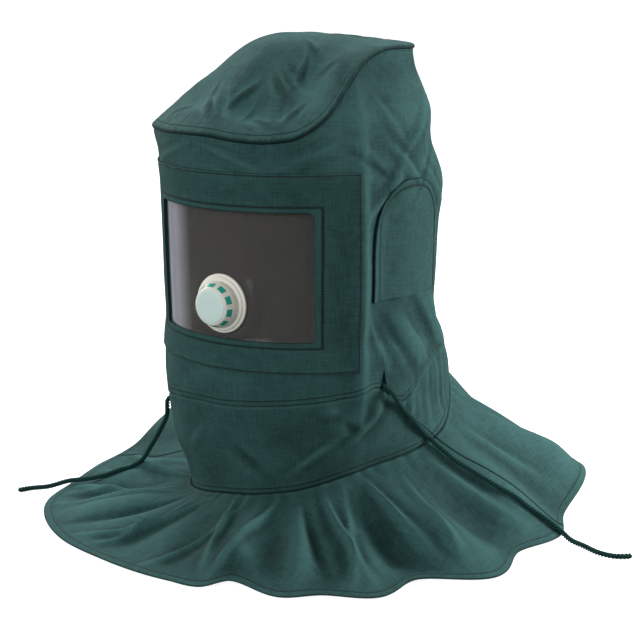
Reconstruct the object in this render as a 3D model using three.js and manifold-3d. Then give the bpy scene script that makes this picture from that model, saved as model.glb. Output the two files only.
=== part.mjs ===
// Sandblasting hood: a canvas hood with a film window, a breathing valve and a shoulder cape.
// Millimetres, +Z up, the window faces -Y. Angles are degrees from the front, positive to +X.
// Heights are measured from the surface that the hem rests on; at the end the whole hood is
// lowered, so that the origin is the point inside the crown that rests on a head.
import * as THREE from 'three';
import { mergeVertices } from 'three/addons/utils/BufferGeometryUtils.js';
import Module from 'manifold-3d';

const wasm = await Module();
wasm.setup();

// Sizes of the hood
const HOOD_HEIGHT = 501;
const HOOD_RADIUS = 141;
const CLOTH = 1.8;
const FACING_CLOTH = 1.2;
const SEAM_GAP = 0.3;

// Sizes of the window and its film
const WINDOW_WIDTH = 180;
const WINDOW_HEIGHT = 128;
const WINDOW_CORNER = 4;
const WINDOW_MIDDLE = 276;
const FRAME_SIDE_ANGLE = 57.6;
const FRAME_ABOVE = 38.2;
const FRAME_BELOW = 32;
const FILM = 1.0;
const FILM_LAP_ANGLE = 5;
const FILM_LAP = 9;
const FILM_INSET = 2.6;

// Sizes of the breathing valve, which sits a small clearance above the window's lower edge
const VALVE_ANGLE = -0.5;
const VALVE_DIAMETER = 59;
const VALVE_CLEARANCE = 5;
const VALVE_HEIGHT = WINDOW_MIDDLE - WINDOW_HEIGHT / 2 + VALVE_DIAMETER / 2 + VALVE_CLEARANCE;
const VALVE_FIT = 0.3;
const VALVE_PROUD = 5.5;
const CAP_DIAMETER = 46;
const CAP_HEIGHT = 15;
const SLOT_COUNT = 10;
const FIRST_SLOT_ANGLE = 4;

// Sizes of the ear patches
const EAR_MIDDLE_ANGLE = 86;
const EAR_SIDE_ANGLE = 22;
const EAR_FOOT = 249;
const EAR_HEIGHT = 117;
const EAR_GAP = 0.5;

// Sizes of the cape and the cords
const CAPE_REACH = 270;
const CAPE_DROOP_FRONT = 1.3;
const CAPE_DROOP_BACK = 0.95;
const CORD_DIAMETER = 5.6;
const CORD_TIP_LENGTH = 14;
const CORD_SIDES = 8;

const CANVAS = { color: 0x24514a, roughness: 0.85, metalness: 0 };
const CORD_FIBRE = { color: 0x10302b, roughness: 0.9, metalness: 0 };
const CLEAR_FILM = { color: 0xbac4cc, roughness: 0.08, metalness: 0 };
const WHITE_PLASTIC = { color: 0xdfe2d8, roughness: 0.45, metalness: 0 };
const TURQUOISE_RUBBER = { color: 0x1fa287, roughness: 0.5, metalness: 0 };

// Horizontal sections of the hood from the top down: height as a share of HOOD_HEIGHT, then the
// half width and the depths to front and back as shares of HOOD_RADIUS.
const SECTIONS = [
  { height: 1.000, side: 0.80, front: 0.93, back: 0.79 },
  { height: 0.942, side: 0.845, front: 1.00, back: 0.80 },
  { height: 0.898, side: 0.905, front: 1.04, back: 0.86 },
  { height: 0.846, side: 0.97, front: 1.07, back: 0.92 },
  { height: 0.766, side: 1.00, front: 1.06, back: 0.97 },
  { height: 0.707, side: 1.00, front: 1.02, back: 1.07 },
  { height: 0.650, side: 1.00, front: 1.01, back: 1.10 },
  { height: 0.590, side: 1.00, front: 1.00, back: 1.06 },
  { height: 0.525, side: 1.00, front: 0.99, back: 1.03 },
  { height: 0.430, side: 0.99, front: 0.98, back: 1.03 },
  { height: 0.389, side: 1.01, front: 0.98, back: 1.17 },
  { height: 0.347, side: 1.02, front: 0.98, back: 1.26 },
  { height: 0.305, side: 1.03, front: 0.97, back: 1.35 },
  { height: 0.250, side: 1.01, front: 0.95, back: 1.40 },
  { height: 0.190, side: 0.98, front: 0.92, back: 1.39 },
  { height: 0.130, side: 0.90, front: 0.87, back: 1.33 },
  { height: 0.080, side: 0.84, front: 0.83, back: 1.30 },
  { height: 0.000, side: 0.80, front: 0.80, back: 1.30 },
];

// Height of the crown seam round the hood, as shares of HOOD_HEIGHT.
const CROWN_SEAM = [
  { angle: -180, height: 0.968 },
  { angle: -140, height: 0.958 },
  { angle: -110, height: 0.925 },
  { angle: -85, height: 0.865 },
  { angle: -68, height: 0.825 },
  { angle: -57, height: 0.816 },
  { angle: -30, height: 0.818 },
  { angle: -3, height: 0.821 },
  { angle: 9, height: 0.814 },
  { angle: 19, height: 0.811 },
  { angle: 27, height: 0.814 },
  { angle: 33, height: 0.821 },
  { angle: 43, height: 0.853 },
  { angle: 55, height: 0.917 },
  { angle: 66, height: 0.957 },
  { angle: 80, height: 0.976 },
  { angle: 110, height: 0.974 },
  { angle: 150, height: 0.972 },
];

// Profile of the crown from its seam to its middle: share of the radius and share of the rise.
const CROWN_TOP = 0.998;
const CROWN_PROFILE = [
  { reach: 1.00, rise: 0.00 },
  { reach: 0.96, rise: 0.06 },
  { reach: 0.88, rise: 0.17 },
  { reach: 0.76, rise: 0.31 },
  { reach: 0.64, rise: 0.47 },
  { reach: 0.50, rise: 0.68 },
  { reach: 0.34, rise: 0.89 },
  { reach: 0.17, rise: 0.98 },
  { reach: 0.00, rise: 1.00 },
];

// Upper and lower edge of the neck bands round the hood, as shares of HOOD_HEIGHT.
const NECK_TOP = [
  { angle: -180, height: 0.365 },
  { angle: -140, height: 0.335 },
  { angle: -105, height: 0.280 },
  { angle: -92, height: 0.252 },
  { angle: -79, height: 0.196 },
  { angle: -73.5, height: 0.200 },
  { angle: -66, height: 0.226 },
  { angle: -57, height: 0.250 },
  { angle: -40, height: 0.271 },
  { angle: -19, height: 0.284 },
  { angle: 0, height: 0.288 },
  { angle: 27, height: 0.299 },
  { angle: 54, height: 0.314 },
  { angle: 66, height: 0.326 },
  { angle: 73.5, height: 0.298 },
  { angle: 79, height: 0.291 },
  { angle: 92, height: 0.333 },
  { angle: 105, height: 0.352 },
  { angle: 140, height: 0.368 },
];
const NECK_BOTTOM = [
  { angle: -180, height: 0.272 },
  { angle: -150, height: 0.240 },
  { angle: -125, height: 0.175 },
  { angle: -95, height: 0.098 },
  { angle: -75, height: 0.060 },
  { angle: -57, height: 0.052 },
  { angle: -32, height: 0.070 },
  { angle: -3, height: 0.092 },
  { angle: 23, height: 0.108 },
  { angle: 39, height: 0.124 },
  { angle: 55, height: 0.146 },
  { angle: 68, height: 0.160 },
  { angle: 85, height: 0.176 },
  { angle: 96, height: 0.190 },
  { angle: 123, height: 0.236 },
  { angle: 150, height: 0.265 },
];

// The ends of the neck bands lean from the top angle to the shoulder seams. The slot for the
// cord is the last step of the front band's upper edge.
const BAND_END = 72;
const BAND_STEPS = 30;
const BACK_STEPS = 24;
const SLOT_RISE = 0.045;
const SHOULDER_RIGHT = { neck: 98, hem: 106 };
const SHOULDER_LEFT = { neck: -95, hem: -93 };

// Outline of the hem: distance from the axis as a share of CAPE_REACH, and how far the hem
// stands above the surface, as a share of HOOD_HEIGHT.
const HEM = [
  { angle: -180, reach: 1.12, lift: 0.030 },
  { angle: -158, reach: 1.16, lift: 0.012 },
  { angle: -136, reach: 1.08, lift: 0.020 },
  { angle: -120, reach: 0.99, lift: 0.075 },
  { angle: -108, reach: 0.96, lift: 0.080 },
  { angle: -99, reach: 1.00, lift: 0.014 },
  { angle: -84, reach: 0.98, lift: 0.004 },
  { angle: -70, reach: 0.97, lift: 0.004 },
  { angle: -56, reach: 1.01, lift: 0.006 },
  { angle: -46, reach: 1.01, lift: 0.006 },
  { angle: -32, reach: 0.99, lift: 0.004 },
  { angle: -16, reach: 0.955, lift: 0.004 },
  { angle: 4, reach: 0.95, lift: 0.003 },
  { angle: 12, reach: 0.955, lift: 0.003 },
  { angle: 18, reach: 0.90, lift: 0.010 },
  { angle: 29, reach: 0.985, lift: 0.003 },
  { angle: 38, reach: 0.975, lift: 0.004 },
  { angle: 49, reach: 1.03, lift: 0.004 },
  { angle: 60, reach: 0.93, lift: 0.004 },
  { angle: 74, reach: 1.065, lift: 0.003 },
  { angle: 88, reach: 0.985, lift: 0.004 },
  { angle: 101, reach: 1.06, lift: 0.004 },
  { angle: 113, reach: 1.045, lift: 0.012 },
  { angle: 131, reach: 1.17, lift: 0.050 },
  { angle: 148, reach: 1.10, lift: 0.030 },
  { angle: 165, reach: 1.14, lift: 0.012 },
];

// Folds that run down the cape: their angles at neck and hem, their height as a share of
// CAPE_REACH, their half width in degrees and where down the cape they are highest.
const CAPE_FOLDS = [
  { neck: 16, hem: 18, height: 0.060, width: 8, peak: 0.75 },
  { neck: 34, hem: 33, height: 0.050, width: 6, peak: 0.70 },
  { neck: 52, hem: 61, height: -0.040, width: 6, peak: 0.70 },
  { neck: 66, hem: 74, height: 0.045, width: 8, peak: 0.60 },
  { neck: 80, hem: 88, height: -0.045, width: 7, peak: 0.65 },
  { neck: 100, hem: 104, height: 0.040, width: 9, peak: 0.60 },
  { neck: 122, hem: 130, height: 0.035, width: 12, peak: 0.80 },
  { neck: 150, hem: 150, height: -0.030, width: 10, peak: 0.70 },
  { neck: 172, hem: 175, height: 0.035, width: 12, peak: 0.70 },
  { neck: -150, hem: -140, height: -0.030, width: 11, peak: 0.70 },
  { neck: -104, hem: -112, height: 0.060, width: 9, peak: 0.85 },
  { neck: -88, hem: -90, height: -0.030, width: 8, peak: 0.60 },
  { neck: -72, hem: -70, height: 0.040, width: 7, peak: 0.55 },
  { neck: -56, hem: -60, height: -0.030, width: 6, peak: 0.60 },
  { neck: -36, hem: -46, height: 0.045, width: 8, peak: 0.60 },
  { neck: -18, hem: -22, height: -0.030, width: 7, peak: 0.65 },
  { neck: -2, hem: 0, height: -0.030, width: 7, peak: 0.55 },
];

// Soft folds and dents in the tube of the hood: angle and height of the middle, how the fold
// leans (degrees for the whole height), its half sizes, and its depth as a share of HOOD_RADIUS.
const BODY_FOLDS = [
  { angle: -57, height: 0.810, lean: 0, wide: 20, tall: 0.032, depth: 0.042 },
  { angle: 104, height: 0.190, lean: 0, wide: 24, tall: 0.070, depth: 0.110 },
  { angle: 61, height: 0.560, lean: 0, wide: 5, tall: 0.220, depth: 0.022 },
  { angle: 128, height: 0.700, lean: 0, wide: 20, tall: 0.050, depth: 0.030 },
  { angle: 118, height: 0.800, lean: -60, wide: 14, tall: 0.040, depth: -0.030 },
  { angle: 84, height: 0.410, lean: -150, wide: 6, tall: 0.075, depth: 0.030 },
  { angle: 97, height: 0.430, lean: -150, wide: 6, tall: 0.075, depth: -0.028 },
  { angle: 110, height: 0.420, lean: -120, wide: 6, tall: 0.075, depth: 0.030 },
  { angle: 132, height: 0.430, lean: -60, wide: 7, tall: 0.070, depth: -0.030 },
  { angle: 160, height: 0.430, lean: 0, wide: 8, tall: 0.080, depth: 0.028 },
  { angle: -160, height: 0.420, lean: 20, wide: 9, tall: 0.080, depth: -0.026 },
  { angle: -130, height: 0.400, lean: 60, wide: 8, tall: 0.075, depth: 0.028 },
  { angle: -104, height: 0.380, lean: 100, wide: 7, tall: 0.070, depth: -0.026 },
  { angle: -86, height: 0.370, lean: 130, wide: 6, tall: 0.075, depth: 0.026 },
  { angle: 30, height: 0.215, lean: 40, wide: 16, tall: 0.045, depth: -0.020 },
  { angle: 52, height: 0.255, lean: 0, wide: 7, tall: 0.030, depth: 0.022 },
];

// Dents in the crown: angle, share of the radius, half sizes, depth as a share of HOOD_RADIUS.
const CROWN_DENTS = [
  { angle: 12, reach: 0.80, wide: 16, long: 0.10, depth: -0.060 },
  { angle: 40, reach: 0.62, wide: 12, long: 0.14, depth: -0.045 },
  { angle: 27, reach: 0.72, wide: 7, long: 0.20, depth: 0.040 },
  { angle: -25, reach: 0.74, wide: 16, long: 0.12, depth: -0.040 },
  { angle: 56, reach: 0.82, wide: 9, long: 0.16, depth: 0.030 },
  { angle: -60, reach: 0.70, wide: 18, long: 0.12, depth: 0.030 },
  { angle: -2, reach: 0.55, wide: 12, long: 0.14, depth: 0.040 },
];

// Route points of the cords, measured from the axis and the surface under the hem.
const CORD_RIGHT_ROUTE = [
  [114.5, -42.5, 164], [123.5, -46, 163.5], [134, -50, 161.5], [142.5, -48.5, 156],
  [144, -32.5, 138.5], [146.5, -23, 128.5], [149.5, -13.5, 118], [151.5, -2.5, 107],
  [153.5, 8.5, 97.5], [160, 12, 90], [167, 14, 84.5], [178.5, 16.5, 76], [191.5, 20.5, 68.5],
  [203.5, 24.5, 61.5], [220.5, 30, 52], [234.5, 38.5, 42.5], [249.5, 45, 30.5],
  [265.5, 53.5, 18], [279, 57, 8], [295.5, 48, 3.5], [313, 41, 3], [332, 32, 3],
  [349, 31.5, 3], [364, 41.5, 3],
];
const CORD_LEFT_ROUTE = [
  [-114.5, -42.5, 112.5], [-123.5, -46, 112.5], [-133.5, -49, 111], [-139.5, -49.5, 107],
  [-144.5, -46, 87.5], [-152, -48, 71], [-164, -51, 50], [-174.5, -52.5, 34],
  [-186, -57, 25], [-194, -68.5, 22.5], [-206.5, -80, 17], [-222.5, -92, 13],
  [-243, -99, 9], [-259, -114, 4], [-273.5, -127, 3], [-280.5, -140, 3],
];

const radians = THREE.MathUtils.degToRad;

// Folds any angle into -180 to 180 degrees.
function wrapAngle(angle) {
  return ((((angle + 180) % 360) + 360) % 360) - 180;
}

// Reads a column of a table at a place between its rows, along a smooth curve. A period joins
// the last row to the first, as for angles round the hood.
function readTable(rows, key, column, place, period = 0) {
  const list = [...rows].sort((a, b) => a[key] - b[key]);
  const at = (index) => {
    if (!period) {
      return list[Math.min(Math.max(index, 0), list.length - 1)];
    }
    const turns = Math.floor(index / list.length);
    const row = list[index - turns * list.length];
    return { [key]: row[key] + turns * period, [column]: row[column] };
  };
  let low = period ? -1 : 0;
  const highest = period ? list.length - 1 : list.length - 2;
  while (low < highest && at(low + 1)[key] <= place) {
    low += 1;
  }
  const [before, start, end, after] = [at(low - 1), at(low), at(low + 1), at(low + 2)];
  const span = end[key] - start[key];
  const share = THREE.MathUtils.clamp((place - start[key]) / span, 0, 1);
  const slope = (one, two) => (two[column] - one[column]) / Math.max(two[key] - one[key], 1e-6);
  const startSlope = slope(before, end) * span;
  const endSlope = slope(start, after) * span;
  const square = share * share;
  const cube = square * share;
  return (2 * cube - 3 * square + 1) * start[column]
    + (cube - 2 * square + share) * startSlope
    + (3 * square - 2 * cube) * end[column]
    + (cube - square) * endSlope;
}

// A bell curve: 1 in the middle, near 0 at twice the half width.
function bell(distance, halfWidth) {
  return Math.exp(-1.2 * (distance / halfWidth) ** 2);
}

// Distance from the axis to the outside of the hood's wall at an angle and a height.
function wallRadius(angle, height) {
  const share = height / HOOD_HEIGHT;
  const forward = Math.cos(radians(angle));
  const side = readTable(SECTIONS, 'height', 'side', share);
  const depth = readTable(SECTIONS, 'height', forward > 0 ? 'front' : 'back', share);
  let radius = 1 / Math.hypot(Math.sin(radians(angle)) / side, forward / depth);
  for (const fold of BODY_FOLDS) {
    const middle = fold.angle + fold.lean * (share - fold.height);
    radius += fold.depth * bell(wrapAngle(angle - middle), fold.wide)
      * bell(share - fold.height, fold.tall);
  }
  return radius * HOOD_RADIUS;
}

// A point at a distance from the axis, an angle from the front and a height.
function placeAround(radius, angle, height) {
  return new THREE.Vector3(
    radius * Math.sin(radians(angle)), -radius * Math.cos(radians(angle)), height);
}

// Heights of the seams at an angle.
function crownSeamHeight(angle) {
  return HOOD_HEIGHT * readTable(CROWN_SEAM, 'angle', 'height', wrapAngle(angle), 360);
}

function neckTopHeight(angle) {
  return HOOD_HEIGHT * readTable(NECK_TOP, 'angle', 'height', wrapAngle(angle), 360);
}

function neckBottomHeight(angle) {
  return HOOD_HEIGHT * readTable(NECK_BOTTOM, 'angle', 'height', wrapAngle(angle), 360);
}

// Columns of the front and the back of the tube; the bands below and the crown above use them
// too, so that the edges that meet follow each other.
function frontColumns() {
  return spread(-BAND_END, BAND_END, BAND_STEPS);
}

function backColumns() {
  return spread(BAND_END, 360 - BAND_END, BACK_STEPS);
}

function slotMiddle() {
  return BAND_END - BAND_END / BAND_STEPS;
}

function tubeColumns() {
  const slots = [-slotMiddle(), slotMiddle()];
  return [...frontColumns(), ...backColumns().slice(1, -1), ...slots].sort((a, b) => a - b);
}

// The slot where the cord comes out notches the lower edge of the tube on both sides.
function tubeFootHeight(angle) {
  const inSlot = Math.abs(Math.abs(wrapAngle(angle)) - slotMiddle()) < 0.01;
  return neckTopHeight(angle) + (inSlot ? SLOT_RISE * HOOD_HEIGHT : 0);
}

// Evenly spaced values from the first to the last.
function spread(first, last, steps) {
  return Array.from({ length: steps + 1 }, (unused, index) => first + ((last - first) * index) / steps);
}

// A sheet of cloth as a closed solid. The grid holds the points of its outer face, row by row;
// the inner face lies one thickness behind it. A closed sheet joins its last column to the
// first; a pole joins all points of the last row.
function sheetSolid(grid, thickness, { closed = false, pole = false, level = false } = {}) {
  const rows = grid.length;
  const columns = grid[0].length;
  const outer = grid.flat();
  const pick = (row, column) => {
    const wrapped = closed ? (column + columns) % columns : THREE.MathUtils.clamp(column, 0, columns - 1);
    return grid[THREE.MathUtils.clamp(row, 0, rows - 1)][wrapped];
  };
  const inner = [];
  for (let row = 0; row < rows; row += 1) {
    for (let column = 0; column < columns; column += 1) {
      const along = pick(row, column + 1).clone().sub(pick(row, column - 1));
      const down = pick(row + 1, column).clone().sub(pick(row - 1, column));
      if (level === true || row < level) {
        down.set(0, 0, Math.sign(down.z));
      }
      const normal = down.cross(along).normalize();
      if (pole && row === rows - 1) {
        normal.set(0, 0, 1);
      }
      inner.push(pick(row, column).clone().addScaledVector(normal, -thickness));
    }
  }
  const points = [...outer, ...inner];
  const shift = outer.length;
  const index = [];
  const id = (row, column) => (pole && row === rows - 1 ? row * columns : row * columns + (column % columns));
  const quad = (a, b, c, d) => {
    for (const [one, two, three] of [[a, b, c], [a, c, d]]) {
      if (one !== two && two !== three && three !== one) {
        index.push(one, two, three);
      }
    }
  };
  const spans = closed ? columns : columns - 1;
  for (let row = 0; row < rows - 1; row += 1) {
    for (let column = 0; column < spans; column += 1) {
      const [a, b] = [id(row, column), id(row + 1, column)];
      const [c, d] = [id(row + 1, column + 1), id(row, column + 1)];
      quad(a, b, c, d);
      quad(a + shift, d + shift, c + shift, b + shift);
    }
  }
  for (let column = 0; column < spans; column += 1) {
    const [a, b] = [id(0, column), id(0, column + 1)];
    quad(a, b, b + shift, a + shift);
    if (!pole) {
      const [c, d] = [id(rows - 1, column), id(rows - 1, column + 1)];
      quad(d, c, c + shift, d + shift);
    }
  }
  if (!closed) {
    for (let row = 0; row < rows - 1; row += 1) {
      const [a, b] = [id(row, 0), id(row + 1, 0)];
      quad(b, a, a + shift, b + shift);
      const [c, d] = [id(row, columns - 1), id(row + 1, columns - 1)];
      quad(c, d, d + shift, c + shift);
    }
  }
  const geometry = new THREE.BufferGeometry();
  geometry.setAttribute('position', new THREE.Float32BufferAttribute(points.flatMap((p) => [p.x, p.y, p.z]), 3));
  geometry.setIndex(index);
  return geometry;
}

// Hands a geometry to the solid modeller and takes it back.
function toSolid(geometry) {
  const bare = geometry.clone();
  bare.deleteAttribute('normal');
  bare.deleteAttribute('uv');
  const merged = mergeVertices(bare, 1e-4);
  return new wasm.Manifold(new wasm.Mesh({
    numProp: 3,
    vertProperties: Float32Array.from(merged.attributes.position.array),
    triVerts: Uint32Array.from(merged.index.array),
  }));
}

function fromSolid(solid) {
  const mesh = solid.getMesh();
  const geometry = new THREE.BufferGeometry();
  geometry.setAttribute('position', new THREE.Float32BufferAttribute(mesh.vertProperties, 3));
  geometry.setIndex(Array.from(mesh.triVerts));
  return geometry;
}

function part(name, geometry, finish) {
  geometry.computeVertexNormals();
  const mesh = new THREE.Mesh(geometry, new THREE.MeshStandardMaterial(finish));
  mesh.name = name;
  return mesh;
}

// The upright prism that cuts the window with rounded corners through the front of the wall.
function windowCutter() {
  const [x, z, corner] = [WINDOW_WIDTH / 2, WINDOW_HEIGHT / 2, WINDOW_CORNER];
  const outline = new THREE.Shape();
  outline.moveTo(-x + corner, -z);
  outline.lineTo(x - corner, -z);
  outline.absarc(x - corner, -z + corner, corner, -Math.PI / 2, 0);
  outline.absarc(x - corner, z - corner, corner, 0, Math.PI / 2);
  outline.absarc(-x + corner, z - corner, corner, Math.PI / 2, Math.PI);
  outline.absarc(-x + corner, -z + corner, corner, Math.PI, Math.PI * 1.5);
  const prism = new THREE.ExtrudeGeometry(outline, { depth: HOOD_RADIUS, bevelEnabled: false, curveSegments: 3 });
  prism.rotateX(Math.PI / 2);
  prism.translate(0, -HOOD_RADIUS * 0.4, WINDOW_MIDDLE);
  return toSolid(prism);
}

// Levels that all columns of the tube share, between its lower and its upper rows.
function tubeLevels() {
  return [0.40, 0.48, 0.56, 0.64, 0.70, 0.755].map((share) => share * HOOD_HEIGHT);
}

// The tall tube, from the neck seam up to the crown seam.
function hoodBody() {
  const angles = tubeColumns();
  const levels = tubeLevels();
  const [first, last] = [levels[0], levels.at(-1)];
  const heights = [
    angles.map((angle) => tubeFootHeight(angle)),
    angles.map((angle) => (tubeFootHeight(angle) + first) / 2),
    ...levels.map((level) => angles.map(() => level)),
    angles.map((angle) => (last + crownSeamHeight(angle)) / 2),
    angles.map((angle) => crownSeamHeight(angle)),
  ];
  const points = heights.toReversed().map((row) => row.map(
    (height, index) => placeAround(wallRadius(angles[index], height), angles[index], height)));
  const tube = toSolid(sheetSolid(points, CLOTH, { closed: true, level: true }));
  return part('hood_body', fromSolid(tube.subtract(windowCutter())), CANVAS);
}

// Height of the crown's outer face at an angle and a share of the way out to its seam.
function crownHeight(angle, reach) {
  const seam = crownSeamHeight(angle) + SEAM_GAP + CLOTH;
  const rise = CROWN_TOP * HOOD_HEIGHT - seam;
  let height = seam + rise * readTable(CROWN_PROFILE, 'reach', 'rise', reach);
  for (const dent of CROWN_DENTS) {
    height += HOOD_RADIUS * dent.depth * bell(wrapAngle(angle - dent.angle), dent.wide)
      * bell(reach - dent.reach, dent.long);
  }
  return height;
}

// The top panel: a shallow dome whose rim turns down onto the tube.
function crownPanel() {
  const angles = tubeColumns().toReversed();
  const ring = (reach, heightAt) => angles.map((angle) => {
    const radius = wallRadius(angle, crownSeamHeight(angle)) * reach;
    return placeAround(radius, angle, heightAt(angle));
  });
  const grid = [
    ring(1, (angle) => crownSeamHeight(angle) + SEAM_GAP),
    ring(1, (angle) => crownSeamHeight(angle) + SEAM_GAP + CLOTH),
    ...CROWN_PROFILE.slice(1).map((row) => ring(row.reach, (angle) => crownHeight(angle, row.reach))),
  ];
  return part('crown_panel', sheetSolid(grid, CLOTH, { closed: true, pole: true, level: 2 }), CANVAS);
}

// A patch that lies on the outside of the wall, a small gap above it.
function wallPatch(angles, heightsAt, gap) {
  const rows = heightsAt(angles[0]).length;
  return Array.from({ length: rows }, (unused, row) => angles.map((angle) => {
    const height = heightsAt(angle)[rows - 1 - row];
    return placeAround(wallRadius(angle, height) + gap + FACING_CLOTH, angle, height);
  }));
}

// The tube's own columns between two angles, with the two angles as ends.
function columnsBetween(from, to) {
  return [from, ...tubeColumns().filter((angle) => angle > from + 1 && angle < to - 1), to];
}

function windowFrame() {
  const low = WINDOW_MIDDLE - WINDOW_HEIGHT / 2 - FRAME_BELOW;
  const high = WINDOW_MIDDLE + WINDOW_HEIGHT / 2 + FRAME_ABOVE;
  const heights = [low, ...tubeLevels().filter((level) => level > low && level < high - 3), high];
  const grid = wallPatch(columnsBetween(-FRAME_SIDE_ANGLE, FRAME_SIDE_ANGLE), () => heights, SEAM_GAP);
  const patch = toSolid(sheetSolid(grid, FACING_CLOTH, { level: true }));
  return part('window_frame', fromSolid(patch.subtract(windowCutter())), CANVAS);
}

// An arched patch over an ear: straight foot, sides upright, round top.
function earFlap(name, side) {
  const middle = side * EAR_MIDDLE_ANGLE;
  const angles = spread(middle - EAR_SIDE_ANGLE, middle + EAR_SIDE_ANGLE, 10);
  const heights = (angle) => {
    const away = Math.min(1, Math.abs(angle - middle) / EAR_SIDE_ANGLE);
    const arch = EAR_HEIGHT * (0.42 + 0.58 * Math.sqrt(1 - away ** 2.4));
    return spread(EAR_FOOT, EAR_FOOT + arch, 5);
  };
  const grid = wallPatch(angles, heights, EAR_GAP);
  return part(name, sheetSolid(grid, FACING_CLOTH, { level: true }), CANVAS);
}

// Angles of a row of columns, drawn in at both ends so that slanting seams keep their gap.
function drawnIn(angles) {
  const gap = THREE.MathUtils.radToDeg(SEAM_GAP / HOOD_RADIUS) * 1.5;
  return angles.map((angle, index) => {
    const end = Number(index === 0) - Number(index === angles.length - 1);
    return angle + end * gap;
  });
}

// A neck band: its upper edge follows the tube's columns, its lower edge the cape's, and its
// ends lean from one to the other.
function neckBand(name, topAngles, bottomAngles) {
  const [topPlaces, bottomPlaces] = [drawnIn(topAngles), drawnIn(bottomAngles)];
  const grid = spread(0, 1, 3).map((down) => topAngles.map((topAngle, index) => {
    const angle = topPlaces[index] + (bottomPlaces[index] - topPlaces[index]) * down;
    const top = neckTopHeight(topAngle) - SEAM_GAP;
    const height = top + (neckBottomHeight(bottomAngles[index]) - top) * down;
    return placeAround(wallRadius(angle, height), angle, height);
  }));
  return part(name, sheetSolid(grid, CLOTH, { level: true }), CANVAS);
}

// A point on the outside of the cape: 0 at the neck, 1 at the hem.
function capePoint(angle, down) {
  const neckHeight = neckBottomHeight(angle) - SEAM_GAP;
  const neckRadius = wallRadius(angle, neckHeight);
  const wrapped = wrapAngle(angle);
  const hemRadius = CAPE_REACH * readTable(HEM, 'angle', 'reach', wrapped, 360);
  const hemHeight = HOOD_HEIGHT * readTable(HEM, 'angle', 'lift', wrapped, 360) + CLOTH;
  const radius = neckRadius + (hemRadius - neckRadius) * (0.55 * down + 0.45 * down ** 1.25);
  const backward = (1 - Math.cos(radians(angle))) / 2;
  const droop = CAPE_DROOP_FRONT + (CAPE_DROOP_BACK - CAPE_DROOP_FRONT) * backward;
  let height = hemHeight + (neckHeight - hemHeight) * (1 - down) ** droop;
  for (const fold of CAPE_FOLDS) {
    const middle = fold.neck + (fold.hem - fold.neck) * down;
    const along = down < fold.peak ? down / fold.peak : (1 - down) / (1 - fold.peak);
    const soft = along * along * (3 - 2 * along);
    height += CAPE_REACH * fold.height * soft * bell(wrapAngle(angle - middle), fold.width);
  }
  return placeAround(radius, angle, Math.max(height, CLOTH));
}

// Half of the cape: its columns lean from their angles at the neck to those at the hem.
function capeHalf(name, neckAngles, hemAngles) {
  const [neckPlaces, hemPlaces] = [drawnIn(neckAngles), drawnIn(hemAngles)];
  const grid = spread(0, 1, 8).map((down) => neckPlaces.map(
    (neckAngle, index) => capePoint(neckAngle + (hemPlaces[index] - neckAngle) * down, down)));
  return part(name, sheetSolid(grid, CLOTH), CANVAS);
}

// The valve's own frame: its middle on the film and the direction in which it points.
function valveFrame() {
  const middle = placeAround(wallRadius(VALVE_ANGLE, VALVE_HEIGHT) - CLOTH - FILM_INSET, VALVE_ANGLE, VALVE_HEIGHT);
  const axis = placeAround(1, VALVE_ANGLE, 0);
  return { middle, axis };
}

// A point on the front of the film: behind the wall at its sewn edge, a little deeper inside
// the window, and flat round the valve.
function filmPoint(angle, height) {
  const edgeAcross = (WINDOW_WIDTH / 2 - Math.abs(HOOD_RADIUS * Math.sin(radians(angle)))) / FILM_LAP;
  const edgeUp = (WINDOW_HEIGHT / 2 - Math.abs(height - WINDOW_MIDDLE)) / FILM_LAP;
  const inside = THREE.MathUtils.smoothstep(Math.min(edgeAcross, edgeUp), -0.5, 0.3);
  const depth = CLOTH + SEAM_GAP + (FILM_INSET - SEAM_GAP) * inside;
  const point = placeAround(wallRadius(angle, height) - depth, angle, height);
  const { middle, axis } = valveFrame();
  const off = point.clone().sub(middle);
  const lift = off.dot(axis);
  const away = off.addScaledVector(axis, -lift).length();
  const flat = inside * (1 - THREE.MathUtils.smoothstep(away, VALVE_DIAMETER * 0.50, VALVE_DIAMETER * 0.80));
  return point.addScaledVector(axis, -lift * flat);
}

function visor() {
  const side = THREE.MathUtils.radToDeg(Math.asin(WINDOW_WIDTH / 2 / HOOD_RADIUS)) + FILM_LAP_ANGLE;
  const low = WINDOW_MIDDLE - WINDOW_HEIGHT / 2 - FILM_LAP;
  const high = WINDOW_MIDDLE + WINDOW_HEIGHT / 2 + FILM_LAP;
  const angles = spread(-side, side, 18);
  const grid = spread(high, low, 10).map((height) => angles.map((angle) => filmPoint(angle, height)));
  const film = toSolid(sheetSolid(grid, FILM));
  const drill = new THREE.CylinderGeometry(VALVE_DIAMETER * 0.3, VALVE_DIAMETER * 0.3, 30, 24);
  return part('visor', fromSolid(film.subtract(toSolid(placeOnValve(drill, 0)))), CLEAR_FILM);
}

// Turns a shape whose axis is Y to point along the valve and moves it out from the film.
function placeOnValve(geometry, out) {
  const { middle, axis } = valveFrame();
  const turn = new THREE.Quaternion().setFromUnitVectors(new THREE.Vector3(0, 1, 0), axis);
  geometry.applyQuaternion(turn);
  return geometry.translate(middle.x + axis.x * out, middle.y + axis.y * out, middle.z);
}

function turned(profile) {
  return new THREE.LatheGeometry(profile.map(([radius, out]) => new THREE.Vector2(radius, out)), 24);
}

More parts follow.
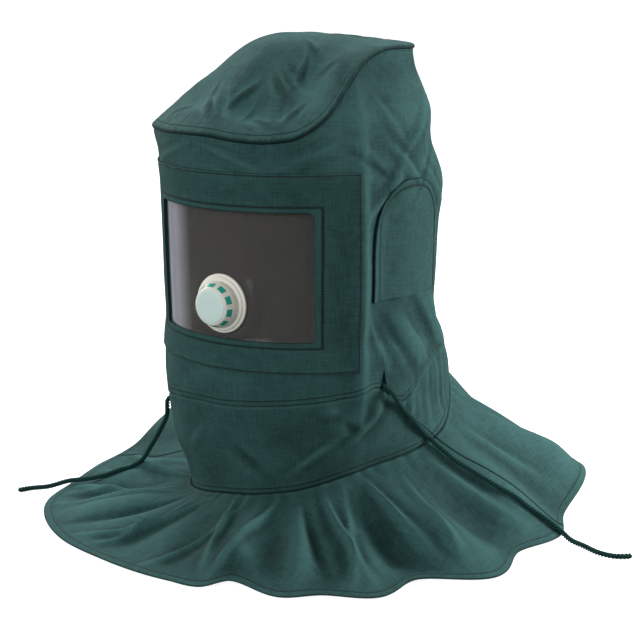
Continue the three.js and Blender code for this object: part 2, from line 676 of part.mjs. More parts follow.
// The white ring: a front rim, a neck through the hole in the film and a rim behind it.
function valveFlange() {
  const outer = VALVE_DIAMETER / 2;
  const neck = VALVE_DIAMETER * 0.3 - VALVE_FIT;
  const bore = CAP_DIAMETER * 0.30;
  const profile = [
    [bore, -FILM - VALVE_FIT - 2.4], [outer * 0.7, -FILM - VALVE_FIT - 2.4], [outer * 0.7, -FILM - VALVE_FIT],
    [neck, -FILM - VALVE_FIT], [neck, VALVE_FIT], [outer, VALVE_FIT], [outer, VALVE_FIT + 2.2],
    [outer * 0.93, VALVE_FIT + 3.4], [outer * 0.86, VALVE_PROUD], [bore, VALVE_PROUD],
    [bore, -FILM - VALVE_FIT - 2.4],
  ];
  return part('valve_flange', placeOnValve(turned(profile), 0), WHITE_PLASTIC);
}

// The turquoise disc: it closes the bore and shows through the slots of the cap.
function valveMembrane() {
  const radius = CAP_DIAMETER * 0.42;
  const low = VALVE_PROUD + VALVE_FIT;
  const profile = [[0, low], [radius, low], [radius, low + 1.4], [0, low + 1.4]];
  return part('valve_membrane', placeOnValve(turned(profile), 0), TURQUOISE_RUBBER);
}

// The domed cap: hollow over the membrane, with slots round its shoulder, the first of which
// stands a little to the left of the top.
function valveCap() {
  const outer = CAP_DIAMETER / 2;
  const foot = VALVE_PROUD + VALVE_FIT;
  const top = foot + CAP_HEIGHT;
  const profile = [
    [0, foot + 3.2], [outer * 0.86, foot + 3.2], [outer * 0.86, foot], [outer, foot],
    [outer, foot + CAP_HEIGHT * 0.40], [outer * 0.94, foot + CAP_HEIGHT * 0.62],
    [outer * 0.78, foot + CAP_HEIGHT * 0.93], [outer * 0.6, top], [0, top],
  ];
  let cap = toSolid(turned(profile));
  for (let slot = 0; slot < SLOT_COUNT; slot += 1) {
    const cutter = new THREE.BoxGeometry(7.5, CAP_HEIGHT * 2, 3.2);
    cutter.translate(0, foot + CAP_HEIGHT + 2.8, outer * 0.77);
    cutter.rotateY(THREE.MathUtils.degToRad(FIRST_SLOT_ANGLE + (slot * 360) / SLOT_COUNT));
    cap = cap.subtract(toSolid(cutter));
  }
  return part('valve_cap', placeOnValve(fromSolid(cap), 0), WHITE_PLASTIC);
}

// Part of a route between two shares of its length, as a curve of its own.
class RouteStretch extends THREE.Curve {
  constructor(whole, from, to) {
    super();
    this.whole = whole;
    this.from = from;
    this.to = to;
  }

  getPoint(share) {
    return this.whole.getPointAt(this.from + (this.to - this.from) * share);
  }
}

// A stretch of cord swept along a curve.
function cordStretch(name, path, steps, diameter) {
  const outline = new THREE.Shape();
  outline.absarc(0, 0, diameter / 2, 0, Math.PI * 2);
  const geometry = new THREE.ExtrudeGeometry(outline, {
    steps, extrudePath: path, curveSegments: CORD_SIDES / 2, bevelEnabled: false,
  });
  return part(name, geometry, CORD_FIBRE);
}

// A cord from its slot to the foot of its tip, and the sealed tip.
function cordPieces(side, route) {
  const whole = new THREE.CatmullRomCurve3(route.map((point) => new THREE.Vector3(...point)));
  const length = whole.getLength();
  const tipFrom = 1 - CORD_TIP_LENGTH / length;
  const steps = Math.round(length / (CORD_DIAMETER * 2));
  const cord = new RouteStretch(whole, 0, tipFrom - SEAM_GAP / length);
  const tip = new RouteStretch(whole, tipFrom, 1);
  return [
    cordStretch(`cord_${side}`, cord, steps, CORD_DIAMETER),
    cordStretch(`cord_tip_${side}`, tip, 3, CORD_DIAMETER * 1.04),
  ];
}

const [left, right] = [SHOULDER_LEFT, SHOULDER_RIGHT];
const frontNeck = spread(left.neck, right.neck, BAND_STEPS);
const backNeck = spread(right.neck, left.neck + 360, BACK_STEPS);
const frontHem = spread(left.hem, right.hem, BAND_STEPS);
const backHem = spread(right.hem, left.hem + 360, BACK_STEPS);

const hood = new THREE.Group();
hood.name = 'sandblasting_hood';
hood.add(crownPanel());
hood.add(hoodBody());
hood.add(windowFrame());
hood.add(visor());
hood.add(valveFlange());
hood.add(valveMembrane());
hood.add(valveCap());
hood.add(earFlap('ear_flap_right', 1));
hood.add(earFlap('ear_flap_left', -1));
hood.add(neckBand('neck_band_front', frontColumns(), frontNeck));
hood.add(neckBand('neck_band_back', backColumns(), backNeck));
hood.add(capeHalf('cape_front', frontNeck, frontHem));
hood.add(capeHalf('cape_back', backNeck, backHem));
cordPieces('right', CORD_RIGHT_ROUTE).forEach((piece) => hood.add(piece));
cordPieces('left', CORD_LEFT_ROUTE).forEach((piece) => hood.add(piece));

const SEAT_HEIGHT = CROWN_TOP * HOOD_HEIGHT - CLOTH;
hood.position.z = -SEAT_HEIGHT;

const model = new THREE.Group();
model.name = 'hood_on_its_seat';
model.add(hood);

export default model;
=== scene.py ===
"""Sandblasting hood: canvas, film window, breathing valve, shoulder cape and drawcords.

Metres, +Z up, the window faces -Y. Angles are degrees from the front, positive to +X. Heights
are measured from the surface under the hem and lowered by the seat height at the end.
"""
import logging
import math
from dataclasses import dataclass, field
from enum import Enum

import bmesh
import bpy
import numpy as np
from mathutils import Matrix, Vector


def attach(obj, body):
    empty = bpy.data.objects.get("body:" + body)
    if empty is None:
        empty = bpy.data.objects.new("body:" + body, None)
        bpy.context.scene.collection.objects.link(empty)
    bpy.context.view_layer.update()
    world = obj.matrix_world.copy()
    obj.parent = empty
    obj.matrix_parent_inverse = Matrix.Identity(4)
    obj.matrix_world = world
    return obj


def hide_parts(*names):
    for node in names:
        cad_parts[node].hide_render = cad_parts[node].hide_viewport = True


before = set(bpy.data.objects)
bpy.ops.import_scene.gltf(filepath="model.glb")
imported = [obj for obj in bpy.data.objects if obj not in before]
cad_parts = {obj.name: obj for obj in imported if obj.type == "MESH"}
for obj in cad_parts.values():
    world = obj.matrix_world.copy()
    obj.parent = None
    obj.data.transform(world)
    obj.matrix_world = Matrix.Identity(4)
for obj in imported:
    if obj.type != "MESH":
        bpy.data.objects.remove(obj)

LOG = logging.getLogger("hood")
MM = 0.001
Array = np.ndarray
# Steps beside a sewn line, close enough together for its groove.
CLOSE_STEPS = np.array([-0.9, -0.4, 0.0, 0.4, 0.9]) * MM


@dataclass(frozen=True)
class Table:
    """Rows of named columns, read between its rows along a smooth curve."""

    columns: tuple
    rows: tuple

    def column(self, name: str) -> Array:
        """Returns one column as an array."""
        return np.array([row[self.columns.index(name)] for row in self.rows], float)

    def read(self, key: str, column: str, places: Array, period: float = 0.0) -> Array:
        """Reads a column at places between the rows: a cubic curve through the two rows around
        each place, whose slopes are those between the rows on either side.

        Args:
            key: the column that the places are given in.
            column: the column that is read.
            places: where it is read.
            period: joins the last row to the first, as for angles round the hood.

        Returns:
            One value for each place.
        """
        order = np.argsort(self.column(key))
        keys, values = self.column(key)[order], self.column(column)[order]
        if period:
            keys = np.concatenate([keys[-2:] - period, keys, keys[:2] + period])
            values = np.concatenate([values[-2:], values, values[:2]])
        else:
            keys = np.concatenate([keys[:1], keys, keys[-1:]])
            values = np.concatenate([values[:1], values, values[-1:]])
        low = np.clip(np.searchsorted(keys, places, side="right") - 1, 1, len(keys) - 3)
        span = keys[low + 1] - keys[low]
        share = np.clip((places - keys[low]) / span, 0, 1)
        start_slope = (values[low + 1] - values[low - 1]) / (keys[low + 1] - keys[low - 1]) * span
        end_slope = (values[low + 2] - values[low]) / (keys[low + 2] - keys[low]) * span
        square, cube = share**2, share**3
        return (
            (2 * cube - 3 * square + 1) * values[low]
            + (cube - 2 * square + share) * start_slope
            + (3 * square - 2 * cube) * values[low + 1]
            + (cube - square) * end_slope
        )


# Horizontal sections from the top down, as shares of the height and of the radius.
SECTIONS = Table(("height", "side", "front", "back"), (
    (1.0, 0.8, 0.93, 0.79), (0.942, 0.845, 1.0, 0.8), (0.898, 0.905, 1.04, 0.86),
    (0.846, 0.97, 1.07, 0.92), (0.766, 1.0, 1.06, 0.97), (0.707, 1.0, 1.02, 1.07),
    (0.65, 1.0, 1.01, 1.1), (0.59, 1.0, 1.0, 1.06), (0.525, 1.0, 0.99, 1.03), (0.43, 0.99, 0.98, 1.03),
    (0.389, 1.01, 0.98, 1.17), (0.347, 1.02, 0.98, 1.26), (0.305, 1.03, 0.97, 1.35),
    (0.25, 1.01, 0.95, 1.4), (0.19, 0.98, 0.92, 1.39), (0.13, 0.9, 0.87, 1.33), (0.08, 0.84, 0.83, 1.3),
    (0.0, 0.8, 0.8, 1.3),
))
# Height of the crown seam and of both edges of the neck bands, as shares of the hood's height.
CROWN_SEAM = Table(("angle", "height"), (
    (-180, 0.968), (-140, 0.958), (-110, 0.925), (-85, 0.865), (-68, 0.825), (-57, 0.816), (-30, 0.818),
    (-3, 0.821), (9, 0.814), (19, 0.811), (27, 0.814), (33, 0.821), (43, 0.853), (55, 0.917),
    (66, 0.957), (80, 0.976), (110, 0.974), (150, 0.972),
))
NECK_TOP = Table(("angle", "height"), (
    (-180, 0.365), (-140, 0.335), (-105, 0.28), (-92, 0.252), (-79, 0.196), (-73.5, 0.2), (-66, 0.226),
    (-57, 0.25), (-40, 0.271), (-19, 0.284), (0, 0.288), (27, 0.299), (54, 0.314), (66, 0.326),
    (73.5, 0.298), (79, 0.291), (92, 0.333), (105, 0.352), (140, 0.368),
))
NECK_BOTTOM = Table(("angle", "height"), (
    (-180, 0.272), (-150, 0.24), (-125, 0.175), (-95, 0.098), (-75, 0.06), (-57, 0.052), (-32, 0.07),
    (-3, 0.092), (23, 0.108), (39, 0.124), (55, 0.146), (68, 0.16), (85, 0.176), (96, 0.19),
    (123, 0.236), (150, 0.265),
))
# Profile of the crown from its seam to its middle: share of the radius and of the rise.
CROWN_PROFILE = Table(("reach", "rise"), (
    (1.0, 0.0), (0.96, 0.06), (0.88, 0.17), (0.76, 0.31), (0.64, 0.47), (0.5, 0.68), (0.34, 0.89),
    (0.17, 0.98), (0.0, 1.0),
))
# Outline of the hem: distance from the axis as a share of the cape's reach, and its lift.
HEM = Table(("angle", "reach", "lift"), (
    (-180, 1.12, 0.03), (-158, 1.16, 0.012), (-136, 1.08, 0.02), (-120, 0.99, 0.075),
    (-108, 0.96, 0.08), (-99, 1.0, 0.014), (-84, 0.98, 0.004), (-70, 0.97, 0.004), (-56, 1.01, 0.006),
    (-46, 1.01, 0.006), (-32, 0.99, 0.004), (-16, 0.955, 0.004), (4, 0.95, 0.003), (12, 0.955, 0.003),
    (18, 0.9, 0.01), (29, 0.985, 0.003), (38, 0.975, 0.004), (49, 1.03, 0.004), (60, 0.93, 0.004),
    (74, 1.065, 0.003), (88, 0.985, 0.004), (101, 1.06, 0.004), (113, 1.045, 0.012), (131, 1.17, 0.05),
    (148, 1.1, 0.03), (165, 1.14, 0.012),
))
# Folds down the cape: angles at neck and hem, height as a share of the reach, half width in
# degrees, where down the cape they are highest, and how sharp their ridge is.
CAPE_FOLDS = Table(("neck", "hem", "height", "width", "peak", "sharp"), (
    (16, 18, 0.06, 8, 0.75, 0.3), (34, 33, 0.05, 6, 0.7, 0.4), (52, 61, -0.04, 6, 0.7, 0),
    (66, 74, 0.045, 8, 0.6, 0.3), (80, 88, -0.045, 7, 0.65, 0), (100, 104, 0.04, 9, 0.6, 0),
    (122, 130, 0.035, 12, 0.8, 0), (150, 150, -0.03, 10, 0.7, 0), (172, 175, 0.035, 12, 0.7, 0),
    (-150, -140, -0.03, 11, 0.7, 0), (-104, -112, 0.06, 9, 0.85, 0), (-88, -90, -0.03, 8, 0.6, 0),
    (-72, -70, 0.04, 7, 0.55, 0.3), (-56, -60, -0.03, 6, 0.6, 0), (-36, -46, 0.045, 8, 0.6, 0.4),
    (-18, -22, -0.03, 7, 0.65, 0), (-2, 0, -0.03, 7, 0.55, 0),
))
# Finer creases of the cape that the solids leave out, in the same columns.
CAPE_CREASES = Table(CAPE_FOLDS.columns, (
    (2, 12, 0.034, 2.0, 0.4, 1), (10, -6, 0.025, 1.8, 0.66, 1), (24, 12, 0.031, 1.8, 0.6, 1),
    (34, 40, -0.025, 2.4, 0.55, 0.6), (42, 50, 0.031, 2.0, 0.5, 1), (52, 44, 0.022, 1.8, 0.66, 1),
    (60, 68, 0.034, 2.2, 0.45, 1), (-10, -32, 0.036, 2.0, 0.52, 1), (-20, -24, 0.022, 1.6, 0.6, 1),
    (-28, -40, -0.028, 2.4, 0.5, 0.6), (-38, -54, 0.028, 1.8, 0.5, 1), (-48, -68, 0.034, 2.2, 0.6, 1),
    (-58, -62, 0.022, 1.8, 0.66, 1), (-66, -82, 0.031, 2.2, 0.5, 1), (-80, -96, 0.025, 2.4, 0.5, 1),
    (76, 70, 0.022, 2.0, 0.6, 1), (88, 97, 0.02, 2.6, 0.5, 1), (112, 118, 0.017, 3.0, 0.5, 1),
    (136, 142, 0.02, 3.0, 0.55, 1), (165, 160, 0.02, 3.0, 0.45, 1), (-170, -165, 0.02, 3.0, 0.5, 1),
    (-130, -128, 0.022, 3.2, 0.55, 1),
))
# Soft folds and dents in the tube: angle and height of the middle, lean in degrees for the
# whole height, half sizes, depth as a share of the radius, sharpness.
BODY_FOLDS = Table(("angle", "height", "lean", "wide", "tall", "depth", "sharp"), (
    (-57, 0.81, 0, 20, 0.032, 0.042, 0), (104, 0.19, 0, 24, 0.07, 0.11, 0),
    (58, 0.54, 0, 7, 0.24, 0.044, 0), (128, 0.7, 0, 20, 0.05, 0.03, 0),
    (118, 0.8, -60, 14, 0.04, -0.03, 0), (84, 0.41, -150, 6, 0.075, 0.03, 0),
    (97, 0.43, -150, 6, 0.075, -0.028, 0), (110, 0.42, -120, 6, 0.075, 0.03, 0),
    (132, 0.43, -60, 7, 0.07, -0.03, 0), (160, 0.43, 0, 8, 0.08, 0.028, 0),
    (-160, 0.42, 20, 9, 0.08, -0.026, 0), (-130, 0.4, 60, 8, 0.075, 0.028, 0),
    (-104, 0.38, 100, 7, 0.07, -0.026, 0), (-86, 0.37, 130, 6, 0.075, 0.026, 0),
    (30, 0.215, 40, 16, 0.045, -0.02, 0), (52, 0.255, 0, 7, 0.03, 0.022, 0),
))
# Finer creases of the tube and the bands that the solids leave out, in the same columns.
BODY_CREASES = Table(BODY_FOLDS.columns, (
    (58.6, 0.54, 0, 4.0, 0.28, 0.034, 1), (72, 0.54, 0, 9.0, 0.24, -0.03, 0),
    (70, 0.7, 240, 2.6, 0.045, 0.024, 1), (82, 0.76, -200, 2.8, 0.04, 0.022, 1),
    (-30, 0.77, 500, 3.0, 0.024, 0.014, 0.9), (92, 0.82, 260, 2.4, 0.04, 0.022, 1),
    (108, 0.7, -260, 2.6, 0.045, 0.022, 1), (64, 0.76, -320, 2.2, 0.03, -0.018, 0.9),
    (76, 0.735, 120, 2.2, 0.035, 0.018, 1), (36, 0.785, 420, 3.0, 0.02, 0.016, 0.9),
    (8, 0.78, -500, 3.0, 0.018, 0.014, 0.9), (96, 0.74, 160, 3.0, 0.045, -0.012, 0.6),
    (74, 0.845, -150, 3.0, 0.035, 0.012, 1), (66, 0.42, -90, 2.6, 0.06, 0.012, 1),
    (76, 0.395, -140, 2.4, 0.05, 0.012, 1), (90, 0.4, -160, 2.6, 0.05, 0.013, 1),
    (103, 0.43, -150, 2.6, 0.05, 0.012, 1), (66, 0.28, 60, 3.0, 0.024, 0.026, 0.9),
    (55, 0.245, -160, 4.0, 0.02, -0.018, 0.6), (60, 0.24, 200, 2.4, 0.028, 0.02, 1),
    (46, 0.285, 0, 6.0, 0.014, 0.016, 0.8), (40, 0.19, 260, 3.0, 0.032, 0.018, 1),
    (10, 0.17, -180, 6.0, 0.03, -0.02, 0.3), (-20, 0.2, 150, 4.0, 0.03, 0.01, 0.6),
    (-48, 0.16, -120, 4.0, 0.04, 0.014, 0.6), (-70, 0.33, 60, 3.0, 0.05, 0.012, 1),
    (-120, 0.56, 100, 5.0, 0.08, 0.016, 0.5), (-95, 0.64, -120, 4.0, 0.07, 0.014, 0.7),
    (150, 0.56, -80, 5.0, 0.09, 0.016, 0.5), (178, 0.64, 60, 5.0, 0.08, -0.014, 0.4),
    (-145, 0.72, 80, 5.0, 0.07, 0.016, 0.6), (-165, 0.33, 0, 3.0, 0.05, 0.014, 1),
    (175, 0.32, 0, 3.0, 0.05, 0.013, 1), (155, 0.32, 0, 2.6, 0.05, 0.013, 1),
    (138, 0.31, 0, 2.6, 0.05, -0.012, 0.6), (-140, 0.29, 0, 2.6, 0.05, 0.013, 1),
    (-118, 0.24, 0, 2.6, 0.05, 0.012, 1),
))
# Dents in the crown: angle, share of the radius, lean in degrees for the whole radius, half
# sizes, depth, sharpness.
CROWN_DENTS = Table(("angle", "reach", "lean", "wide", "long", "depth", "sharp"), (
    (12, 0.8, 0, 16, 0.1, -0.05, 0), (40, 0.62, 0, 12, 0.14, -0.038, 0),
    (27, 0.72, 0, 7, 0.2, 0.026, 0), (-25, 0.74, 0, 16, 0.12, -0.04, 0),
    (56, 0.82, 0, 9, 0.16, 0.03, 0), (-60, 0.7, 0, 18, 0.12, 0.03, 0),
    (-2, 0.55, 0, 12, 0.14, 0.024, 0), (-5, 0.75, 40, 3.4, 0.08, -0.036, 0.8),
    (3, 0.7, -60, 2.6, 0.08, 0.036, 1), (-13, 0.8, 70, 3.0, 0.06, 0.028, 1),
    (29, 0.56, 60, 4.0, 0.07, -0.034, 0.8), (36, 0.54, -50, 3.4, 0.08, 0.03, 1),
    (21, 0.62, 50, 2.8, 0.07, 0.028, 1), (26, 0.83, 0, 2.4, 0.06, -0.028, 0.8),
    (32, 0.84, -70, 2.2, 0.05, 0.024, 1), (17, 0.86, 80, 2.4, 0.05, 0.016, 1),
    (10, 0.79, -30, 2.2, 0.06, 0.018, 1), (46, 0.4, 30, 6.0, 0.11, 0.022, 1),
    (-34, 0.86, -60, 3.0, 0.06, 0.014, 1), (52, 0.7, 60, 3.2, 0.08, 0.018, 1),
    (-22, 0.66, 40, 3.4, 0.08, 0.016, 1), (-70, 0.5, 60, 7.0, 0.12, 0.016, 0.8),
    (100, 0.6, 50, 6.0, 0.14, 0.018, 0.8), (150, 0.55, -50, 7.0, 0.14, -0.018, 0.6),
))
CORD_RIGHT_ROUTE = (
    (114.5, -42.5, 164), (123.5, -46, 163.5), (134, -50, 161.5), (142.5, -48.5, 156),
    (144, -32.5, 138.5), (146.5, -23, 128.5), (149.5, -13.5, 118), (151.5, -2.5, 107),
    (153.5, 8.5, 97.5), (160, 12, 90), (167, 14, 84.5), (178.5, 16.5, 76), (191.5, 20.5, 68.5),
    (203.5, 24.5, 61.5), (220.5, 30, 52), (234.5, 38.5, 42.5), (249.5, 45, 30.5), (265.5, 53.5, 18),
    (279, 57, 8), (295.5, 48, 3.5), (313, 41, 3), (332, 32, 3), (349, 31.5, 3), (364, 41.5, 3),
)
CORD_LEFT_ROUTE = (
    (-114.5, -42.5, 112.5), (-123.5, -46, 112.5), (-133.5, -49, 111), (-139.5, -49.5, 107),
    (-144.5, -46, 87.5), (-152, -48, 71), (-164, -51, 50), (-174.5, -52.5, 34), (-186, -57, 25),
    (-194, -68.5, 22.5), (-206.5, -80, 17), (-222.5, -92, 13), (-243, -99, 9), (-259, -114, 4),
    (-273.5, -127, 3), (-280.5, -140, 3),
)


def wrap(angle: Array) -> Array:
    """Folds angles into -180 to 180 degrees."""
    return (np.asarray(angle) + 180) % 360 - 180


def ridge(distance: Array, half_width: Array, sharp: float = 0.0) -> Array:
    """A rounded hill, 1 in the middle and near 0 at twice the half width.

    Args:
        distance: distances from its middle.
        half_width: its half width.
        sharp: 1 makes it a crease, whose sides fall in straight lines from a narrow ridge.

    Returns:
        Its heights.
    """
    off = distance / half_width
    soft = np.exp(-1.2 * off**2)
    crease = np.exp(-1.4 * (np.sqrt(off**2 + 0.03) - 0.17))
    return soft * (1 - sharp) + crease * soft**0.5 * sharp


def smooth(share: Array) -> Array:
    """Rises from 0 to 1 with level ends."""
    held = np.clip(share, 0, 1)
    return held * held * (3 - 2 * held)


def unit(vectors: Array) -> Array:
    """Returns the vectors at length 1."""
    return vectors / np.maximum(np.linalg.norm(vectors, axis=-1, keepdims=True), 1e-12)


def lengths_along(line: Array) -> Array:
    """Returns the length of a line of points up to each of them."""
    return np.concatenate([[0], np.cumsum(np.linalg.norm(np.diff(line, axis=0), axis=1))])


def points_at(places: Array, far: Array, line: Array) -> Array:
    """Returns the points of a line at places along its lengths."""
    return np.stack([np.interp(places, far, line[:, axis]) for axis in range(3)], -1)


def passing(at: Array, start: float, stop: float, first: Array, second: Array) -> Array:
    """Returns points that pass evenly from the first to the second between two times."""
    span = stop - start
    return (stop - at) / span * first + (at - start) / span * second


def looped(line: Array) -> Array:
    """Returns a line of numbers that ends where it starts."""
    return np.append(line, line[:1])


def border(numbers: Array) -> Array:
    """Returns the numbers round the edge of a grid, each once."""
    return np.concatenate([numbers[0, :-1], numbers[:-1, -1], numbers[-1, :0:-1],
                           numbers[:0:-1, 0]])


def spaced(places: Array, least: float) -> Array:
    """Returns rising places without those that lie closer than the least step to the last."""
    return places[np.concatenate([[True], np.diff(places) > least])]


def ripple(places: Array, seed: int, waves: int, slowest: float, fastest: float) -> Array:
    """A restless line: a sum of sine waves whose pace and start come from a seeded draw.

    Args:
        places: where it is read.
        seed: starts the draw.
        waves: how many waves it has.
        slowest: the fewest waves to a unit of places.
        fastest: the most.

    Returns:
        Values about 0.
    """
    draw = np.random.default_rng(seed)
    total = np.zeros_like(np.asarray(places, float))
    for _ in range(waves):
        pace = draw.uniform(slowest, fastest)
        total += np.sin(2 * np.pi * (places * pace + draw.random()))
    return total / math.sqrt(waves)


def unrest(across: Array, along: Array, seed: int, size: float) -> Array:
    """Soft unevenness of worn cloth: a sum of plane waves in seeded directions.

    Args:
        across: places one way.
        along: places the other way.
        seed: starts the draw.
        size: the length of its middling waves.

    Returns:
        Values about 0.
    """
    draw = np.random.default_rng(seed)
    total = np.zeros(np.broadcast(across, along).shape)
    for _ in range(14):
        turn = draw.uniform(0, math.pi)
        pace = draw.uniform(0.5, 1.6) / size
        swing = np.sin(2 * np.pi * pace * (across * math.cos(turn) + along * math.sin(turn))
                       + draw.uniform(0, 6.28))
        total = total + swing / (pace * size)
    return total / 6


@dataclass(frozen=True)
class HoodShape:
    """The hood's named sizes, and the surfaces that they give."""

    height: float = 501 * MM
    radius: float = 141 * MM
    cloth: float = 1.8 * MM
    facing: float = 1.2 * MM
    gap: float = 0.3 * MM
    window_width: float = 180 * MM
    window_height: float = 128 * MM
    window_corner: float = 4 * MM
    window_middle: float = 276 * MM
    cape_reach: float = 270 * MM
    droop_front: float = 1.3
    droop_back: float = 0.95
    crown_top: float = 0.998
    seam_fold: float = 9 * MM
    film_inset: float = 2.6 * MM
    slot_angle: float = 69.6
    shoulder_right: tuple = (98.0, 106.0)
    shoulder_left: tuple = (-95.0, -93.0)

    def seat(self) -> float:
        """Returns the height of the underside of the crown on the axis."""
        return self.crown_top * self.height - self.cloth

    def place(self, radius: Array, angle: Array, height: Array) -> Array:
        """Returns points at distances from the axis, angles and heights, in the row frame."""
        turn = np.radians(angle)
        parts = np.broadcast_arrays(radius * np.sin(turn), -radius * np.cos(turn),
                                    height - self.seat())
        return np.stack(parts, axis=-1)

    def outward(self, angle: Array) -> Array:
        """Returns level vectors of length 1 away from the axis."""
        away = self.place(np.ones_like(angle), angle, np.zeros_like(angle))
        away[:, 2] = 0
        return unit(away)

    def crown_seam(self, angle: Array) -> Array:
        """Returns the height of the crown seam."""
        return self.height * CROWN_SEAM.read("angle", "height", wrap(angle), 360)

    def neck_top(self, angle: Array) -> Array:
        """Returns the height of the neck bands' upper edge."""
        return self.height * NECK_TOP.read("angle", "height", wrap(angle), 360)

    def neck_bottom(self, angle: Array) -> Array:
        """Returns the height of the neck bands' lower edge."""
        return self.height * NECK_BOTTOM.read("angle", "height", wrap(angle), 360)

    def wall(self, angle: Array, height: Array) -> Array:
        """Distance from the axis to the wall: half ellipses to front and back, plus every fold
        of the two tables as a hill whose middle leans with the height.

        Args:
            angle: angles from the front.
            height: heights above the surface under the hem.

        Returns:
            Distances from the axis.
        """
        share = height / self.height
        forward = np.cos(np.radians(angle))
        side = SECTIONS.read("height", "side", share)
        depth = np.where(forward > 0, SECTIONS.read("height", "front", share),
                         SECTIONS.read("height", "back", share))
        radius = 1 / np.hypot(np.sin(np.radians(angle)) / side, forward / depth)
        for table in (BODY_FOLDS, BODY_CREASES):
            for at, level, lean, wide, tall, deep, sharp in table.rows:
                middle = at + lean * (share - level)
                radius = radius + deep * ridge(wrap(angle - middle), wide, sharp) * ridge(
                    share - level, tall)
        return radius * self.radius + self.wall_detail(angle, height)

    def wall_detail(self, angle: Array, height: Array) -> Array:
        """Fine relief of the wall: unevenness all over, still at the window, and small
        gathers that fade away from the neck seam towards the back."""
        across = np.radians(wrap(angle)) * self.radius
        calm = ridge(np.asarray(wrap(angle), float), 75) * smooth(
            (height - 0.17) / 0.03) * smooth((0.39 - height) / 0.03)
        rough = 0.9 * MM * unrest(across, height, 11, 60 * MM) * (1 - 0.9 * calm)
        seam = np.abs(height - self.neck_top(angle))
        behind = smooth((np.abs(wrap(angle)) - 70) / 12)
        gathers = ripple(np.radians(angle) / (2 * np.pi), 5, 5, 46, 92)
        top = np.abs(height - self.crown_seam(angle))
        puckers = ripple(np.radians(angle) / (2 * np.pi), 8, 4, 50, 96)
        return (rough + behind * 0.7 * MM * gathers * np.exp(-seam / (24 * MM))
                + 0.22 * MM * puckers * np.exp(-top / (7 * MM)))

    def smooth_wall(self, angle: Array, height: Array) -> Array:
        """Returns the wall's distance without its fine relief, for the film and the valve."""
        return self.wall(angle, height) - self.wall_detail(angle, height)

    def crown(self, angle: Array, reach: Array) -> Array:
        """Height of the crown's outside: its profile between seam and top, plus the dents.

        Args:
            angle: angles from the front.
            reach: shares of the way from the axis to the seam.

        Returns:
            Heights above the surface under the hem.
        """
        seam = self.crown_seam(angle) + self.gap + self.cloth
        rise = self.crown_top * self.height - seam
        height = seam + rise * CROWN_PROFILE.read("reach", "rise", reach)
        for at, out, lean, wide, long, deep, sharp in CROWN_DENTS.rows:
            off = wrap(angle - at - lean * (reach - out))
            height = height + self.radius * deep * ridge(off, wide, sharp) * ridge(
                reach - out, long)
        turn = np.radians(angle)
        rough = unrest(reach * np.sin(turn), reach * np.cos(turn), 23, 0.42)
        puckers = ripple(turn / (2 * np.pi), 8, 4, 50, 96)
        inside = smooth((1 - reach) / 0.1)
        return (height + 1.1 * MM * rough * inside
                + 0.22 * MM * puckers * np.exp(-(1 - reach) / 0.05) * smooth((1 - reach) / 0.01))

    def cape(self, angle: Array, down: Array) -> Array:
        """Points on the outside of the cape, 0 at the neck and 1 at the hem: the radius and the
        height pass from neck to hem along powers of the share, plus every fold as a hill.

        Args:
            angle: angles from the front.
            down: shares of the way from neck to hem.

        Returns:
            Points in the row frame.
        """
        neck_height = self.neck_bottom(angle) - self.gap
        neck_radius = self.wall(angle, neck_height)
        hem_radius = self.cape_reach * HEM.read("angle", "reach", wrap(angle), 360)
        hem_height = self.height * HEM.read("angle", "lift", wrap(angle), 360) + self.cloth
        out = np.maximum(down, 0)
        radius = neck_radius + (hem_radius - neck_radius) * (0.55 * out + 0.45 * out**1.25)
        backward = (1 - np.cos(np.radians(angle))) / 2
        droop = self.droop_front + (self.droop_back - self.droop_front) * backward
        height = hem_height + (neck_height - hem_height) * (1 - np.minimum(out, 1)) ** droop
        for table in (CAPE_FOLDS, CAPE_CREASES):
            for neck, hem, high, wide, peak, sharp in table.rows:
                middle = neck + (hem - neck) * out
                along = np.where(out < peak, out / peak, (1 - out) / (1 - peak))
                height = height + self.cape_reach * high * smooth(along) * ridge(
                    wrap(angle - middle), wide, sharp)
        turn = np.radians(angle)
        middle_share = smooth(out / 0.2) * smooth((1 - out) / 0.12)
        height = height + 1.3 * MM * middle_share * unrest(
            radius * np.sin(turn), radius * np.cos(turn), 37, 70 * MM)
        gathers = ripple(turn / (2 * np.pi), 19, 5, 40, 80)
        height = height + 0.5 * MM * gathers * np.exp(-out / 0.10) * smooth(out / 0.03)
        return self.place(radius, angle, np.maximum(height, self.cloth))


SHAPE = HoodShape()


